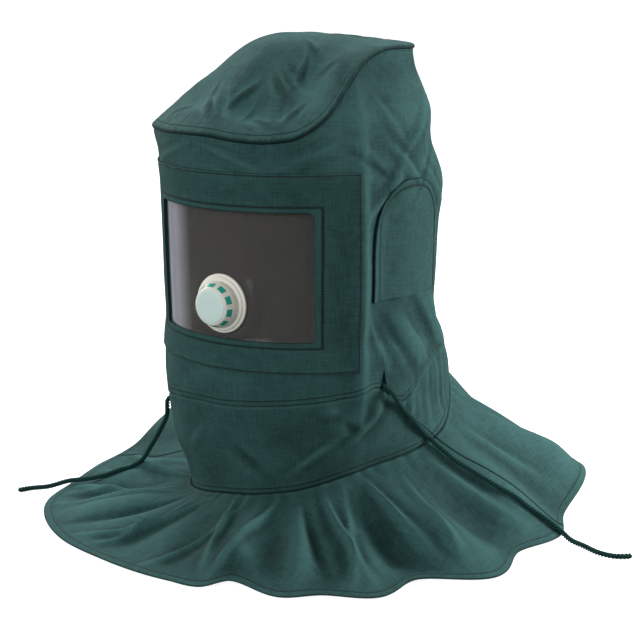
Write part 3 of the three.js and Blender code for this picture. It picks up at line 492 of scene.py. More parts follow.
@dataclass(eq=False)
class Shade:
    """A number in a material's nodes, with the usual arithmetic."""

    tree: bpy.types.NodeTree
    socket: bpy.types.NodeSocket

    def math(self, operation: str, *others: object, clamp: bool = False) -> "Shade":
        """Adds a Math node on this number and others.

        Args:
            operation: the Math node's operation.
            others: numbers or other shades.
            clamp: holds the result between 0 and 1.

        Returns:
            The result.
        """
        node = self.tree.nodes.new("ShaderNodeMath")
        node.operation = operation
        node.use_clamp = clamp
        for place, value in enumerate((self, *others)):
            if isinstance(value, Shade):
                self.tree.links.new(value.socket, node.inputs[place])
            else:
                node.inputs[place].default_value = value
        return Shade(self.tree, node.outputs[0])

    def __add__(self, other: object) -> "Shade":
        """Adds."""
        return self.math("ADD", other)

    __radd__ = __add__

    def __sub__(self, other: object) -> "Shade":
        """Takes away."""
        return self.math("SUBTRACT", other)

    def __rsub__(self, other: object) -> "Shade":
        """Takes this from the other."""
        return self.math("MULTIPLY", -1.0).math("ADD", other)

    def __mul__(self, other: object) -> "Shade":
        """Multiplies."""
        return self.math("MULTIPLY", other)

    __rmul__ = __mul__

    def held(self) -> "Shade":
        """Holds the number between 0 and 1."""
        return self.math("ADD", 0.0, clamp=True)

    def wave(self, pitch: float) -> "Shade":
        """Returns the sine of this number, one full wave for each pitch."""
        return (self * (2 * math.pi / pitch)).math("SINE")


class Painter:
    """Builds one material's nodes round its shader."""

    def __init__(self, name: str) -> None:
        """Starts a material of that name."""
        self.material = bpy.data.materials.new(name)
        self.material.use_nodes = True
        self.tree = self.material.node_tree
        self.shader = self.tree.nodes["Principled BSDF"]

    def node(self, kind: str, inputs: dict, **settings: object) -> bpy.types.Node:
        """Adds a node.

        Args:
            kind: the node's type.
            inputs: values or links of its sockets, by name or number.
            settings: its own settings, set first.

        Returns:
            The node.
        """
        node = self.tree.nodes.new(kind)
        for key, value in settings.items():
            setattr(node, key, value)
        for key, value in inputs.items():
            self.feed(node.inputs[key], value)
        return node

    def feed(self, socket: bpy.types.NodeSocket, value: object) -> None:
        """Links or sets one socket."""
        if isinstance(value, Shade):
            self.tree.links.new(value.socket, socket)
        elif isinstance(value, bpy.types.NodeSocket):
            self.tree.links.new(value, socket)
        else:
            socket.default_value = value

    def attribute(self, name: str) -> Shade:
        """Reads a number that the mesh carries."""
        return Shade(self.tree, self.node(
            "ShaderNodeAttribute", {}, attribute_name=name).outputs["Fac"])

    def flat_place(self) -> tuple:
        """Returns the two lengths of the piece's own UV map, in metres."""
        uv = self.node("ShaderNodeUVMap", {}, uv_map="cloth")
        split = self.node("ShaderNodeSeparateXYZ", {0: uv.outputs[0]})
        return Shade(self.tree, split.outputs[0]), Shade(self.tree, split.outputs[1])

    def noise(self, scale: float, detail: float = 4, stretch: tuple = (1, 1, 1),
              on_cloth: bool = False) -> Shade:
        """Adds noise on Object coordinates or on the cloth's own lengths.

        Args:
            scale: how many grains a metre holds.
            detail: how many finer layers it has.
            stretch: the scale along each way.
            on_cloth: reads the UV map.

        Returns:
            The noise, about 0.5 in the middle.
        """
        if on_cloth:
            source = self.node("ShaderNodeUVMap", {}, uv_map="cloth").outputs[0]
        else:
            source = self.node("ShaderNodeTexCoord", {}).outputs["Object"]
        turned = self.node("ShaderNodeMapping", {"Vector": source, "Scale": stretch})
        grains = self.node("ShaderNodeTexNoise", {
            "Vector": turned.outputs[0], "Scale": scale, "Detail": detail, "Roughness": 0.6})
        return Shade(self.tree, grains.outputs["Fac"])

    def blend(self, factor: Shade, first: object, second: object) -> bpy.types.NodeSocket:
        """Mixes two colours by a factor."""
        node = self.node("ShaderNodeMix", {"Factor": factor, 6: first, 7: second},
                         data_type="RGBA")
        return node.outputs[2]

    def bump(self, height: Shade, distance: float) -> None:
        """Feeds a relief, in metres from dark to light, to the shader's normal."""
        node = self.node("ShaderNodeBump", {
            "Height": height, "Distance": distance, "Strength": 1.0})
        self.feed(self.shader.inputs["Normal"], node.outputs[0])

    def set(self, **values: object) -> None:
        """Sets or links sockets of the shader, whose names have _ for a space."""
        for key, value in values.items():
            self.feed(self.shader.inputs[key.replace("_", " ")], value)


@dataclass(frozen=True)
class Canvas:
    """Dark green cotton canvas: plain weave, slubs, wear on ridges with painted shade in hollows, and
    painted shade in sewn grooves and seam gaps.
    """

    name: str = "canvas"
    worn: tuple = (0.051, 0.137, 0.132, 1)
    deep: tuple = (0.017, 0.049, 0.048, 1)
    # Colour of the painted shade in sewn grooves and seam gaps.
    groove_and_shade: tuple = (0.003, 0.011, 0.011, 1)
    thread: float = 1.3 * MM
    weave_depth: float = 0.30 * MM
    roughness: float = 0.82
    sheen: float = 0.02

    def build(self) -> bpy.types.Material:
        """Makes the material: colour passes from deep to worn by noise and by the wear on ridges with
        painted shade in hollows, then to the painted shade of sewn grooves and seam gaps; the bump is the
        product of two waves over the cloth's own lengths."""
        paint = Painter(self.name)
        across, along = paint.flat_place()
        weave = across.wave(self.thread) * along.wave(self.thread)
        slubs_along = paint.noise(820, 3, (1, 0.05, 1), True)
        slubs_across = paint.noise(820, 3, (0.05, 1, 1), True)
        slubs = slubs_along + slubs_across - 1.0
        clouds = paint.noise(14, 5)
        grime = paint.noise(120, 3)
        # Lighter on ridges for wear, darker in hollows as painted shade.
        wear_and_shade = paint.attribute("wear_and_shade")
        tone = ((wear_and_shade - 0.5) * 0.8 + (clouds - 0.5) * 0.5 + slubs * 0.85
                + (grime - 0.5) * 0.5 + 0.45).held()
        base = paint.blend(tone, self.deep, self.worn)
        # Painted shade in sewn grooves and seam gaps, darkest there.
        groove_and_shade = paint.attribute("groove_and_shade")
        paint.set(
            Base_Color=paint.blend(groove_and_shade.held(), base, self.groove_and_shade),
            Roughness=(self.roughness + 0.08 * (clouds - 0.5)).held(),
            Sheen_Weight=self.sheen, Sheen_Roughness=0.45,
            Sheen_Tint=(0.62, 0.85, 0.80, 1), Specular_IOR_Level=0.09,
        )
        paint.bump(weave * 0.5 + slubs * 0.8 + grime * 0.3, self.weave_depth)
        return paint.material


@dataclass(frozen=True)
class SewingThread:
    """Dark green sewing thread with a slight gloss."""

    name: str = "sewing_thread"
    colour: tuple = (0.002, 0.010, 0.009, 1)
    light: tuple = (0.005, 0.022, 0.020, 1)

    def build(self) -> bpy.types.Material:
        """Makes the material, lighter and darker by noise."""
        paint = Painter(self.name)
        paint.set(Base_Color=paint.blend(paint.noise(900, 2), self.colour, self.light),
                  Roughness=0.55)
        return paint.material


@dataclass(frozen=True)
class CordFibre:
    """Twisted cord: dark fibres, lighter on the crowns of the strands and darker between them as painted
    shade.
    """

    name: str = "cord_fibre"
    colour: tuple = (0.004, 0.026, 0.024, 1)
    light: tuple = (0.013, 0.062, 0.056, 1)

    def build(self) -> bpy.types.Material:
        """Makes the material: fine fibres run along the UV map's first length."""
        paint = Painter(self.name)
        fibres = paint.noise(700, 3, (1, 0.06, 1), True)
        # Painted shade between the strands, the crowns lighter.
        crown = paint.attribute("wear_and_shade")
        tone = (crown * 0.75 + (fibres - 0.5) * 1.1 + (paint.noise(90, 3) - 0.5) * 0.4).held()
        paint.set(Base_Color=paint.blend(tone, self.colour, self.light), Roughness=0.8,
                  Specular_IOR_Level=0.15)
        paint.bump(fibres, 0.25 * MM)
        return paint.material


@dataclass(frozen=True)
class ClearFilm:
    """Clear window film, hazy with fine scuffs, with a painted pale blue reflection to one side and a warm
    tint to the other.
    """

    name: str = "clear_film"
    # Painted reflection of a bright surface, on the left of the film.
    reflection_blue: tuple = (0.84, 0.87, 0.97, 1)
    warm: tuple = (0.15, 0.145, 0.14, 1)

    def build(self) -> bpy.types.Material:
        """Makes the material: the painted reflection fades across the film into its warm tint, the haze
        follows faint clouds.
        """
        paint = Painter(self.name)
        source = paint.node("ShaderNodeTexCoord", {}).outputs["Object"]
        split = paint.node("ShaderNodeSeparateXYZ", {0: source})
        # 0 on the left under the painted reflection, where the film is also more opaque, 1 to the right.
        side = (Shade(paint.tree, split.outputs[0]) * 22.0 + 1.98).held()
        scuffs = paint.noise(260, 4, (1, 1, 0.12))
        clouds = paint.noise(9, 3)
        paint.set(
            Base_Color=paint.blend(side, self.reflection_blue, self.warm),
            Roughness=(0.05 + 0.10 * scuffs).held(),
            Alpha=(0.58 - 0.22 * side + 0.16 * (clouds - 0.5) + 0.05 * (scuffs - 0.5)).held(),
            IOR=1.49, Specular_IOR_Level=0.2,
        )
        paint.material.surface_render_method = "BLENDED"
        return paint.material


@dataclass(frozen=True)
class MouldedPlastic:
    """Moulded plastic or rubber with a faint skin texture."""

    name: str
    colour: tuple
    shaded: tuple
    roughness: float = 0.42

    def build(self) -> bpy.types.Material:
        """Makes the material: the colour drifts a little, the skin is a fine bump."""
        paint = Painter(self.name)
        drift = paint.noise(60, 4)
        skin = paint.noise(1600, 2)
        paint.set(Base_Color=paint.blend(drift, self.shaded, self.colour),
                  Roughness=(self.roughness + 0.14 * (drift - 0.5)).held())
        paint.bump(skin, 0.05 * MM)
        return paint.material


class Finish(Enum):
    """The finishes that the pieces are dressed in."""

    CANVAS = Canvas()
    FACING = Canvas(name="facing_canvas", worn=(0.053, 0.142, 0.136, 1))
    THREAD = SewingThread()
    CORD = CordFibre()
    FILM = ClearFilm()
    WHITE = MouldedPlastic("white_plastic", (0.92, 0.91, 0.82, 1), (0.85, 0.84, 0.75, 1))
    MINT = MouldedPlastic("mint_plastic", (0.72, 0.90, 0.86, 1), (0.66, 0.84, 0.80, 1), 0.5)
    RUBBER = MouldedPlastic("turquoise_rubber", (0.012, 0.46, 0.34, 1), (0.010, 0.38, 0.28, 1))


@dataclass
class Wardrobe:
    """Makes each finish once and hands it out."""

    made: dict = field(default_factory=dict)

    def get(self, finish: Finish) -> bpy.types.Material:
        """Returns the material of a finish."""
        if finish not in self.made:
            self.made[finish] = finish.value.build()
        return self.made[finish]


WARDROBE = Wardrobe()


@dataclass
class Grid:
    """A grid of points on the outside of a piece, rows from the top down and columns by rising angle, with
    its UV lengths, its wear on ridges with painted shade in hollows, and its sunk grooves with their
    painted shade."""

    points: Array
    flat: Array
    wear_and_shade: Array
    groove_and_shade: Array
    closed: bool = False
    pole: bool = False

    def normals(self) -> Array:
        """Returns the outward normals: the way down crossed with the way along."""
        if self.closed:
            along = np.roll(self.points, -1, 1) - np.roll(self.points, 1, 1)
        else:
            along = np.gradient(self.points, axis=1)
        down = np.gradient(self.points, axis=0)
        normals = unit(np.cross(down, along))
        if self.pole:
            normals[-1] = (0, 0, 1)
        return normals


def new_object(name: str, data: object) -> bpy.types.Object:
    """Returns a new object that shows a mesh, lamp or camera, added to the scene."""
    made = bpy.data.objects.new(name, data)
    bpy.context.scene.collection.objects.link(made)
    return made


def make_mesh(name: str, points: Array, faces: list, finish: Finish, flat: Array | None = None,
              values: dict | None = None) -> bpy.types.Object:
    """Makes a smoothly shaded object from whole arrays.

    Args:
        name: the object's name.
        points: its points.
        faces: arrays of faces, each with three or four columns.
        finish: its material.
        flat: its lengths on the cloth, one pair for each point.
        values: numbers that its points carry, by name.

    Returns:
        The object.
    """
    corners = np.concatenate([part.ravel() for part in faces]).astype(np.int32)
    sizes = np.concatenate([np.full(len(part), part.shape[1]) for part in faces])
    mesh = bpy.data.meshes.new(name)
    mesh.vertices.add(len(points))
    mesh.vertices.foreach_set("co", np.ascontiguousarray(points, np.float32).ravel())
    mesh.loops.add(len(corners))
    mesh.loops.foreach_set("vertex_index", corners)
    mesh.polygons.add(len(sizes))
    starts = np.concatenate([[0], np.cumsum(sizes)[:-1]]).astype(np.int32)
    mesh.polygons.foreach_set("loop_start", starts)
    mesh.polygons.foreach_set("use_smooth", np.full(len(sizes), True))
    if flat is not None:
        layer = mesh.uv_layers.new(name="cloth")
        layer.data.foreach_set("uv", flat[corners].astype(np.float32).ravel())
    for key, numbers in (values or {}).items():
        mesh.attributes.new(key, "FLOAT", "POINT").data.foreach_set(
            "value", np.ascontiguousarray(numbers, np.float32).ravel())
    mesh.update()
    mesh.validate()
    mesh.materials.append(WARDROBE.get(finish))
    return new_object(name, mesh)


def quads(rows: int, columns: int, closed: bool, shift: int = 0) -> Array:
    """Returns the faces of a grid, wound so that they point out of it."""
    down = np.arange(rows - 1)[:, None] * columns
    across = np.arange(columns if closed else columns - 1)[None, :]
    beside = (across + 1) % columns
    return np.stack([down + across, down + columns + across, down + columns + beside,
                     down + beside], -1).reshape(-1, 4) + shift


def edge_strip(first: Array, second: Array) -> Array:
    """Returns the faces between two lines of point numbers."""
    return np.stack([first[:-1], first[1:], second[1:], second[:-1]], -1)


def cloth_object(name: str, grid: Grid, thickness: float, finish: Finish) -> bpy.types.Object:
    """Gives a sheet of cloth its thickness: an inner face one thickness behind the outer one,
    joined round its open edges by a rounded lip.

    Args:
        name: the object's name.
        grid: the outer face.
        thickness: the cloth's thickness.
        finish: its material.

    Returns:
        The object.
    """
    rows, columns = grid.points.shape[:2]
    normals = grid.normals()
    inner = grid.points - normals * thickness
    count = rows * columns
    numbers = np.arange(count).reshape(rows, columns)
    points = [grid.points.reshape(-1, 3), inner.reshape(-1, 3)]
    faces = [quads(rows, columns, grid.closed), quads(rows, columns, grid.closed, count)[:, ::-1]]
    sources = [numbers.ravel(), numbers.ravel()]
    total = 2 * count
    if grid.closed:
        borders = [(numbers[0], numbers[1], False)]
        if not grid.pole:
            borders.append((numbers[-1], numbers[-2], True))
    else:
        loop = border(numbers)
        inside = np.concatenate([numbers[1, :-1], numbers[:-1, -2], numbers[-2, :0:-1],
                                 numbers[:0:-1, 1]])
        borders = [(loop, inside, False)]
    flat_outer, flat_inner = points[0], points[1]
    for line, behind, reverse in borders:
        outward = unit(flat_outer[line] - flat_outer[behind])
        lip = (flat_outer[line] + flat_inner[line]) / 2 + outward * thickness * 0.35
        own = np.arange(len(line)) + total
        total += len(line)
        points.append(lip)
        sources.append(line)
        for first, second in ((line, own), (own, line + count)):
            strip = edge_strip(looped(first), looped(second))
            faces.append(strip[:, ::-1] if not reverse else strip)
    source = np.concatenate(sources)
    # The points carry the wear with painted shade in hollows, and the painted shade of grooves and seams.
    values = {"wear_and_shade": grid.wear_and_shade.ravel()[source], "groove_and_shade": grid.groove_and_shade.ravel()[source]}
    return make_mesh(name, np.concatenate(points), [np.concatenate(faces)], finish,
                     grid.flat.reshape(-1, 2)[source], values)


def wear_and_shade_of(points: Array, closed: bool, reach: int = 4) -> Array:
    """Wear and painted shade of a grid: how far each point stands out from the mean of its neighbours,
    lighter on ridges for wear and darker in hollows as painted shade.

    Args:
        points: the grid.
        closed: joins its last column to its first.
        reach: how many cells away the neighbours are.

    Returns:
        0 in hollows, 0.5 on even cloth and 1 on ridges.
    """
    rows, columns = points.shape[:2]
    along = np.gradient(points, axis=1)
    down = np.gradient(points, axis=0)
    normals = unit(np.cross(down, along))
    wide = np.arange(columns)
    if closed:
        before, after = (wide - reach) % columns, (wide + reach) % columns
    else:
        before, after = np.clip(wide - reach, 0, None), np.clip(wide + reach, None, columns - 1)
    tall = np.arange(rows)
    above, below = np.clip(tall - reach, 0, None), np.clip(tall + reach, None, rows - 1)
    mean = (points[:, before] + points[:, after]) / 2
    side = ((points - mean) * normals).sum(-1)
    mean = (points[above] + points[below]) / 2
    side = side + ((points - mean) * normals).sum(-1)
    side = side - np.median(side)
    return 0.5 + 0.5 * np.tanh(side / (1.7 * MM))


def line_groove(distance: Array, width: float = 0.5 * MM) -> Array:
    """Returns 1 on a sewn line and 0 away from it."""
    return np.exp(-((distance / width) ** 2))


def edge_steps(fine: float, reach: float, coarse: float, line: float = 0.0) -> Array:
    """Distances from an edge that start fine and end coarse.

    Args:
        fine: the first step.
        reach: how far they go.
        coarse: the last step.
        line: the distance of a sewn line, which gets five close steps of its own.

    Returns:
        The distances.
    """
    steps = [0.0]
    while steps[-1] < reach:
        steps.append(steps[-1] + fine + (coarse - fine) * (steps[-1] / reach) ** 2)
    steps = np.array(steps)
    if line:
        steps = np.sort(np.concatenate([steps[np.abs(steps - line) > 1.2 * MM], line + CLOSE_STEPS]))
    return steps


def tucked_rows(angles: Array, edge: Array, under: Array) -> Array:
    """Rows of points that reach up behind the cloth above a seam.

    Args:
        angles: the columns.
        edge: the seam's height in each column.
        under: how far up each row reaches.

    Returns:
        The points.
    """
    sunk = SHAPE.wall(angles[None], edge[None] + under) - SHAPE.cloth - SHAPE.gap - 0.1 * MM
    return SHAPE.place(sunk, angles[None], edge[None] + under)


def shaded_seam(groove_and_shade: Array, rows: int) -> Array:
    """Returns the grooves with tucked rows added above, with painted shade there and in the seam."""
    groove_and_shade = np.concatenate([np.full((rows, groove_and_shade.shape[1]), 0.6), groove_and_shade])
    groove_and_shade[rows] = 0.5
    return groove_and_shade


def between_seams(top: Array, bottom: Array, steps: int, line: float) -> Array:
    """Heights of rows between two seams: at fixed distances near both, evenly spread between.

    Args:
        top: the upper seam's height in each column.
        bottom: the lower seam's height in each column.
        steps: how many even steps lie between.
        line: the distance of the sewn line above the lower seam.

    Returns:
        One row of heights after another, from the top down.
    """
    near = edge_steps(0.55 * MM, 12 * MM, 2.4 * MM)
    foot = edge_steps(0.55 * MM, 12 * MM, 2.4 * MM, line)
    high, low = top - near[-1], bottom + foot[-1]
    shares = np.linspace(0, 1, steps + 1)[1:-1, None]
    return np.concatenate([top - near[:, None], high + (low - high) * shares,
                           bottom + foot[::-1, None]])


@dataclass
class Stitching:
    """Collects sewn lines and makes their stitches: short threads sunk into the cloth."""

    name: str
    pitch: float = 3.0 * MM
    thick: float = 0.42 * MM
    lines: list = field(default_factory=list)

    def add(self, points: Array, normals: Array) -> None:
        """Adds a line of points on the cloth with its normals."""
        self.lines.append((points, normals))

    def make(self) -> bpy.types.Object:
        """Makes every stitch as one six-sided pod laid along its line, slightly sunk."""
        middles, ways, ups = [], [], []
        for points, normals in self.lines:
            far = lengths_along(points)
            count = max(int(far[-1] / self.pitch), 1)
            at = (np.arange(count) + 0.5) * far[-1] / count
            ahead = points_at(at + 0.5 * MM, far, points)
            back = points_at(at - 0.5 * MM, far, points)
            middles.append(points_at(at, far, points))
            ways.append(unit(ahead - back))
            ups.append(unit(points_at(at, far, normals)))
        middle, way, up = (np.concatenate(part) for part in (middles, ways, ups))
        side = unit(np.cross(up, way))
        turn = np.arange(6) * np.pi / 3
        ring = np.stack([np.zeros(6), np.cos(turn), np.sin(turn)], -1)
        half = self.pitch * 0.40
        pod = np.concatenate([
            [[-half, 0, -0.5 * self.thick]],
            ring * self.thick + [-half * 0.62, 0, 0], ring * self.thick + [half * 0.62, 0, 0],
            [[half, 0, -0.5 * self.thick]],
        ])
        points = (middle[:, None] + pod[None, :, :1] * way[:, None] + pod[None, :, 1:2] * side[:, None]
                  + (pod[None, :, 2:] + 0.1 * self.thick) * up[:, None]).reshape(-1, 3)
        first = 1 + np.arange(6)
        after = 1 + (np.arange(6) + 1) % 6
        ends = np.concatenate([np.stack([np.zeros(6, int), after, first], -1),
                               np.stack([np.full(6, 13), first + 6, after + 6], -1)])
        sides = np.stack([first, after, after + 6, first + 6], -1)
        shift = (np.arange(len(middle)) * 14)[:, None, None]
        return make_mesh(self.name, points, [(ends[None] + shift).reshape(-1, 3),
                                             (sides[None] + shift).reshape(-1, 4)], Finish.THREAD)


def around(columns: int) -> Array:
    """Evenly spaced angles once round the hood."""
    return np.linspace(-180, 180, columns, endpoint=False)


@dataclass
class Stage:
    """The pale floor, the soft lights and the camera at the photograph's angle."""

    azimuth: float = 33.0
    elevation: float = 13.0
    eye: tuple = (0.932954, -1.398066, 0.093256)
    focal_pixels: float = 1638.095
    frame_pixels: int = 640
    floor_reach: float = 60.0
    ambient: float = 0.34

    def camera(self) -> None:
        """Places the camera at its eye point and points it along the angle of view."""
        turn, lift = math.radians(self.azimuth), math.radians(self.elevation)
        ahead = Vector((-math.sin(turn) * math.cos(lift), math.cos(turn) * math.cos(lift),
                        -math.sin(lift)))
        data = bpy.data.cameras.new("camera")
        data.sensor_width = 36.0
        data.lens = self.focal_pixels / self.frame_pixels * 36.0
        camera = new_object("camera", data)
        camera.location = self.eye
        camera.rotation_mode = "QUATERNION"
        camera.rotation_quaternion = ahead.to_track_quat("-Z", "Y")
        bpy.context.scene.camera = camera

    def light(self, name: str, turn: float, lift: float, away: float, size: float,
              power: float) -> None:
        """Adds a soft square light that faces the hood.

        Args:
            name: its name.
            turn: its angle from the front, positive to +X.
            lift: its angle above the horizon.
            away: its distance.
            size: its side.
            power: its power.
        """
        middle = Vector((0, 0, -0.25))
        turn, lift = math.radians(turn), math.radians(lift)
        level = math.cos(lift) * away
        place = middle + Vector((math.sin(turn) * level, -math.cos(turn) * level,
                                 math.sin(lift) * away))
        data = bpy.data.lights.new(name, "AREA")
        data.shape = "SQUARE"
        data.size = size
        data.energy = power
        lamp = new_object(name, data)
        lamp.location = place
        lamp.rotation_mode = "QUATERNION"
        lamp.rotation_quaternion = (middle - place).to_track_quat("-Z", "Y")

    def lights(self) -> None:
        """Adds wide soft lights from the right and the left, weaker ones from the front and
        above, and a world that looks white but lights the hood faintly."""
        self.light("right", 128, 14, 3.0, 1.0, 112)
        self.light("left", -104, 24, 3.2, 1.8, 62)
        self.light("front", -10, 16, 3.4, 2.2, 50)
        self.light("top", 215, 64, 3.0, 1.2, 76)
        world = bpy.data.worlds.new("studio")
        bpy.context.scene.world = world
        world.use_nodes = True
        tree = world.node_tree
        seen = tree.nodes["Background"]
        cast = tree.nodes.new("ShaderNodeBackground")
        for shader, strength in ((seen, 1.0), (cast, self.ambient)):
            shader.inputs[0].default_value = (1.0, 1.0, 1.0, 1)
            shader.inputs[1].default_value = strength
        self.seen_or_cast(tree, seen.outputs[0], cast.outputs[0],
                          tree.nodes["World Output"].inputs[0])
        bpy.context.scene.view_settings.view_transform = "Standard"

    def seen_or_cast(self, tree: bpy.types.NodeTree, seen: bpy.types.NodeSocket,
                     cast: bpy.types.NodeSocket, out: bpy.types.NodeSocket) -> None:
        """Links one shader for what is seen and another for the light that it sends on."""
        path = tree.nodes.new("ShaderNodeLightPath")
        mix = tree.nodes.new("ShaderNodeMixShader")
        tree.links.new(path.outputs["Is Camera Ray"], mix.inputs[0])
        tree.links.new(cast, mix.inputs[1])
        tree.links.new(seen, mix.inputs[2])
        tree.links.new(mix.outputs[0], out)

    def floor(self) -> None:
        """Makes the pale floor, a wide square under the hem. It is seen nearly white and sends
        little light up, as a floor that lies far below a table would."""
        side = self.floor_reach
        low = -SHAPE.seat() - 0.6 * MM
        corner = np.array([[-side, -side, low], [side, -side, low], [side, side, low],
                           [-side, side, low]])
        plane = make_mesh("floor", corner, [np.array([[0, 1, 2, 3]])], Finish.WHITE)
        paint = Painter("pale_floor")
        paint.set(Base_Color=(0.55, 0.55, 0.55, 1), Roughness=0.9, Specular_IOR_Level=0.0,
                  Emission_Color=(1.0, 1.0, 1.0, 1), Emission_Strength=0.93)
        dim = paint.node("ShaderNodeBsdfDiffuse", {"Color": (0.16, 0.16, 0.16, 1)})
        self.seen_or_cast(paint.tree, paint.shader.outputs[0], dim.outputs[0],
                          paint.tree.nodes["Material Output"].inputs[0])
        plane.data.materials[0] = paint.material

    def build(self) -> None:
        """Sets the camera, the lights and the floor."""
        self.camera()
        self.lights()
        self.floor()


@dataclass
class Drawcord:
    """One twisted cord of three strands with its sealed tip."""

    side: str
    route: tuple
    diameter: float = 5.6 * MM
    tip: float = 14 * MM
    twist: float = 11 * MM
    strands: int = 3

    def centreline(self) -> Array:
        """Returns the route as one smooth line with a point about every 1.2 mm: a centripetal
        curve through the route's points, evenly spaced again by length."""
        knots = np.array(self.route) * MM - [0, 0, SHAPE.seat()]
        padded = np.concatenate([2 * knots[:1] - knots[1:2], knots, 2 * knots[-1:] - knots[-2:-1]])
        gaps = np.linalg.norm(np.diff(padded, axis=0), axis=1)
        times = np.concatenate([[0], np.cumsum(gaps**0.5)])
        line = []
        for index in range(1, len(padded) - 2):
            at = np.linspace(times[index], times[index + 1], 24, endpoint=False)[:, None]
            t0, t1, t2, t3 = times[index - 1:index + 3]
            p0, p1, p2, p3 = padded[index - 1:index + 3]
            middle = passing(at, t1, t2, p1, p2)
            before = passing(at, t0, t2, passing(at, t0, t1, p0, p1), middle)
            after = passing(at, t1, t3, middle, passing(at, t2, t3, p2, p3))
            line.append(passing(at, t1, t2, before, after))
        whole = np.concatenate([*line, knots[-1:]])
        far = lengths_along(whole)
        return points_at(np.linspace(0, far[-1], int(far[-1] / (1.2 * MM))), far, whole)

    def twisted(self, name: str, line: Array, start: float, swell: Array) -> bpy.types.Object:
        """Carries three round strands along a line, each a helix about it.

        Args:
            name: the object's name.
            line: the line's points.
            start: how far the twist has turned at its first point, as a length.
            swell: the cord's thickness along it, as a share.

        Returns:
            The object.
        """
        far = lengths_along(line)
        ahead = unit(np.gradient(line, axis=0))
        side = unit(np.cross(ahead, [0.0, 0.0, 1.0]) + 1e-6)
        up = np.cross(side, ahead)
        sides, faces, points, flat, crown = 10, [], [], [], []
        strand = self.diameter * 0.27
        turn = np.arange(sides) * 2 * np.pi / sides
        for index in range(self.strands):
            phase = 2 * np.pi * ((far + start) / self.twist + index / self.strands)
            out = np.cos(phase)[:, None] * side + np.sin(phase)[:, None] * up
            beside = -np.sin(phase)[:, None] * side + np.cos(phase)[:, None] * up
            middle = line + out * strand * 0.92 * swell[:, None]
            ring = (np.cos(turn)[None, :, None] * out[:, None]
                    + np.sin(turn)[None, :, None] * beside[:, None])
            skin = middle[:, None] + ring * (strand * swell)[:, None, None]
            shift = sum(len(part) for part in points)
            points.append(skin.reshape(-1, 3))
            faces.append(quads(len(line), sides, True, shift)[:, ::-1])
            flat.append(np.stack(np.broadcast_arrays(turn[None] * strand, far[:, None]), -1).reshape(-1, 2))
            # Painted shade: 1 on each strand's crown, 0 where it turns in towards the other strands.
            crown.append(np.broadcast_to(0.5 + 0.5 * np.cos(turn), (len(line), sides)).ravel())
            for end, row in ((0, 0), (1, len(line) - 1)):
                hub = sum(len(part) for part in points)
                points.append(middle[row:row + 1])
                flat.append(np.array([[0, far[row]]]))
                crown.append(np.array([0.3]))
                rim = shift + row * sides + np.arange(sides)
                fan = np.stack([np.full(sides, hub), rim, np.roll(rim, -1)], -1)
                faces.append(fan if end else fan[:, ::-1])
        square = [part for part in faces if part.shape[1] == 4]
        three = [part for part in faces if part.shape[1] == 3]
        return make_mesh(name, np.concatenate(points), [np.concatenate(square), np.concatenate(three)],
                         Finish.CORD, np.concatenate(flat), {"wear_and_shade": np.concatenate(crown)})

    def build(self) -> None:
        """Makes the cord and its tip, which swells a little and closes at its end."""
        line = self.centreline()
        far = lengths_along(line)
        length = far[-1]
        split = int(np.searchsorted(far, length - self.tip))
        rope = line[:split + 1]
        end = line[split:].copy()
        end[0] += (end[1] - end[0]) * 0.06
        cord = self.twisted(f"drawcord_{self.side}", rope, 0.0, np.ones(len(rope)))
        share = np.linspace(0, 1, len(end))
        swell = 1.04 * np.sqrt(np.clip(1 - np.clip((share - 0.80) / 0.21, 0, 1) ** 2.4, 0.02, 1))
        tip = self.twisted(f"drawcord_tip_{self.side}", end, far[split], swell)
        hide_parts(f"cord_{self.side}")
        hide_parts(f"cord_tip_{self.side}")
        for piece in (cord, tip):
            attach(piece, "root")
        LOG.info("drawcord %s: %.0f mm", self.side, length * 1000)


@dataclass
class Crown:
    """The top panel, its felled seam and the row of stitches above it."""

    columns: int = 340
    stitch_in: float = 4.2 * MM

    def grid(self) -> Grid:
        """Returns the outside of the dome: rings from the seam to the top, the seam's edge
        turned down and raised by the turned-in cloth."""
        angles = around(self.columns)
        near = edge_steps(0.55 * MM, 13 * MM, 3 * MM, self.stitch_in) / SHAPE.radius
        shares = np.concatenate([near, np.linspace(near[-1] + 0.012, 1, 84)])
        reach = 1 - shares[:, None]
        seam = SHAPE.crown_seam(angles)
        seam_radius = SHAPE.wall(angles, seam)
        height = SHAPE.crown(angles[None], reach)
        from_edge = np.broadcast_to((1 - reach) * SHAPE.radius, height.shape)
        lapped = smooth((SHAPE.seam_fold - from_edge) / (3 * MM))
        groove_and_shade = line_groove(from_edge - self.stitch_in)
        height = height + 0.12 * MM * lapped - 0.20 * MM * groove_and_shade
        points = SHAPE.place(reach * seam_radius[None], angles[None], height)
        skirt = SHAPE.place(seam_radius, angles, seam + SHAPE.gap)[None]
        turned = SHAPE.place(seam_radius + 0.1 * MM, angles, seam + SHAPE.gap + 1.0 * MM)[None]
        points = np.concatenate([skirt, turned, points])
        # Painted shade on the seam's edge rows and the first row of the dome: a dark line in the seam.
        groove_and_shade[0] = 0.25
        rim = np.repeat([[1.0], [0.75]], self.columns, axis=1)
        groove_and_shade = np.concatenate([rim, groove_and_shade])
        flat = np.stack([points[..., 0], points[..., 1]], -1)
        return Grid(points, flat, wear_and_shade_of(points, True), groove_and_shade, True, True)

    def build(self, stitching: Stitching) -> None:
        """Makes the panel and its line of stitches."""
        grid = self.grid()
        piece = cloth_object("crown_cloth", grid, SHAPE.cloth, Finish.CANVAS)
        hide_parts("crown_panel")
        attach(piece, "root")
        row = int(np.argmax(grid.groove_and_shade[3:, 0])) + 3
        line = np.append(grid.points[row], grid.points[row][:1], 0)
        normals = np.append(grid.normals()[row], grid.normals()[row][:1], 0)
        stitching.add(line, normals)
        LOG.info("crown panel")


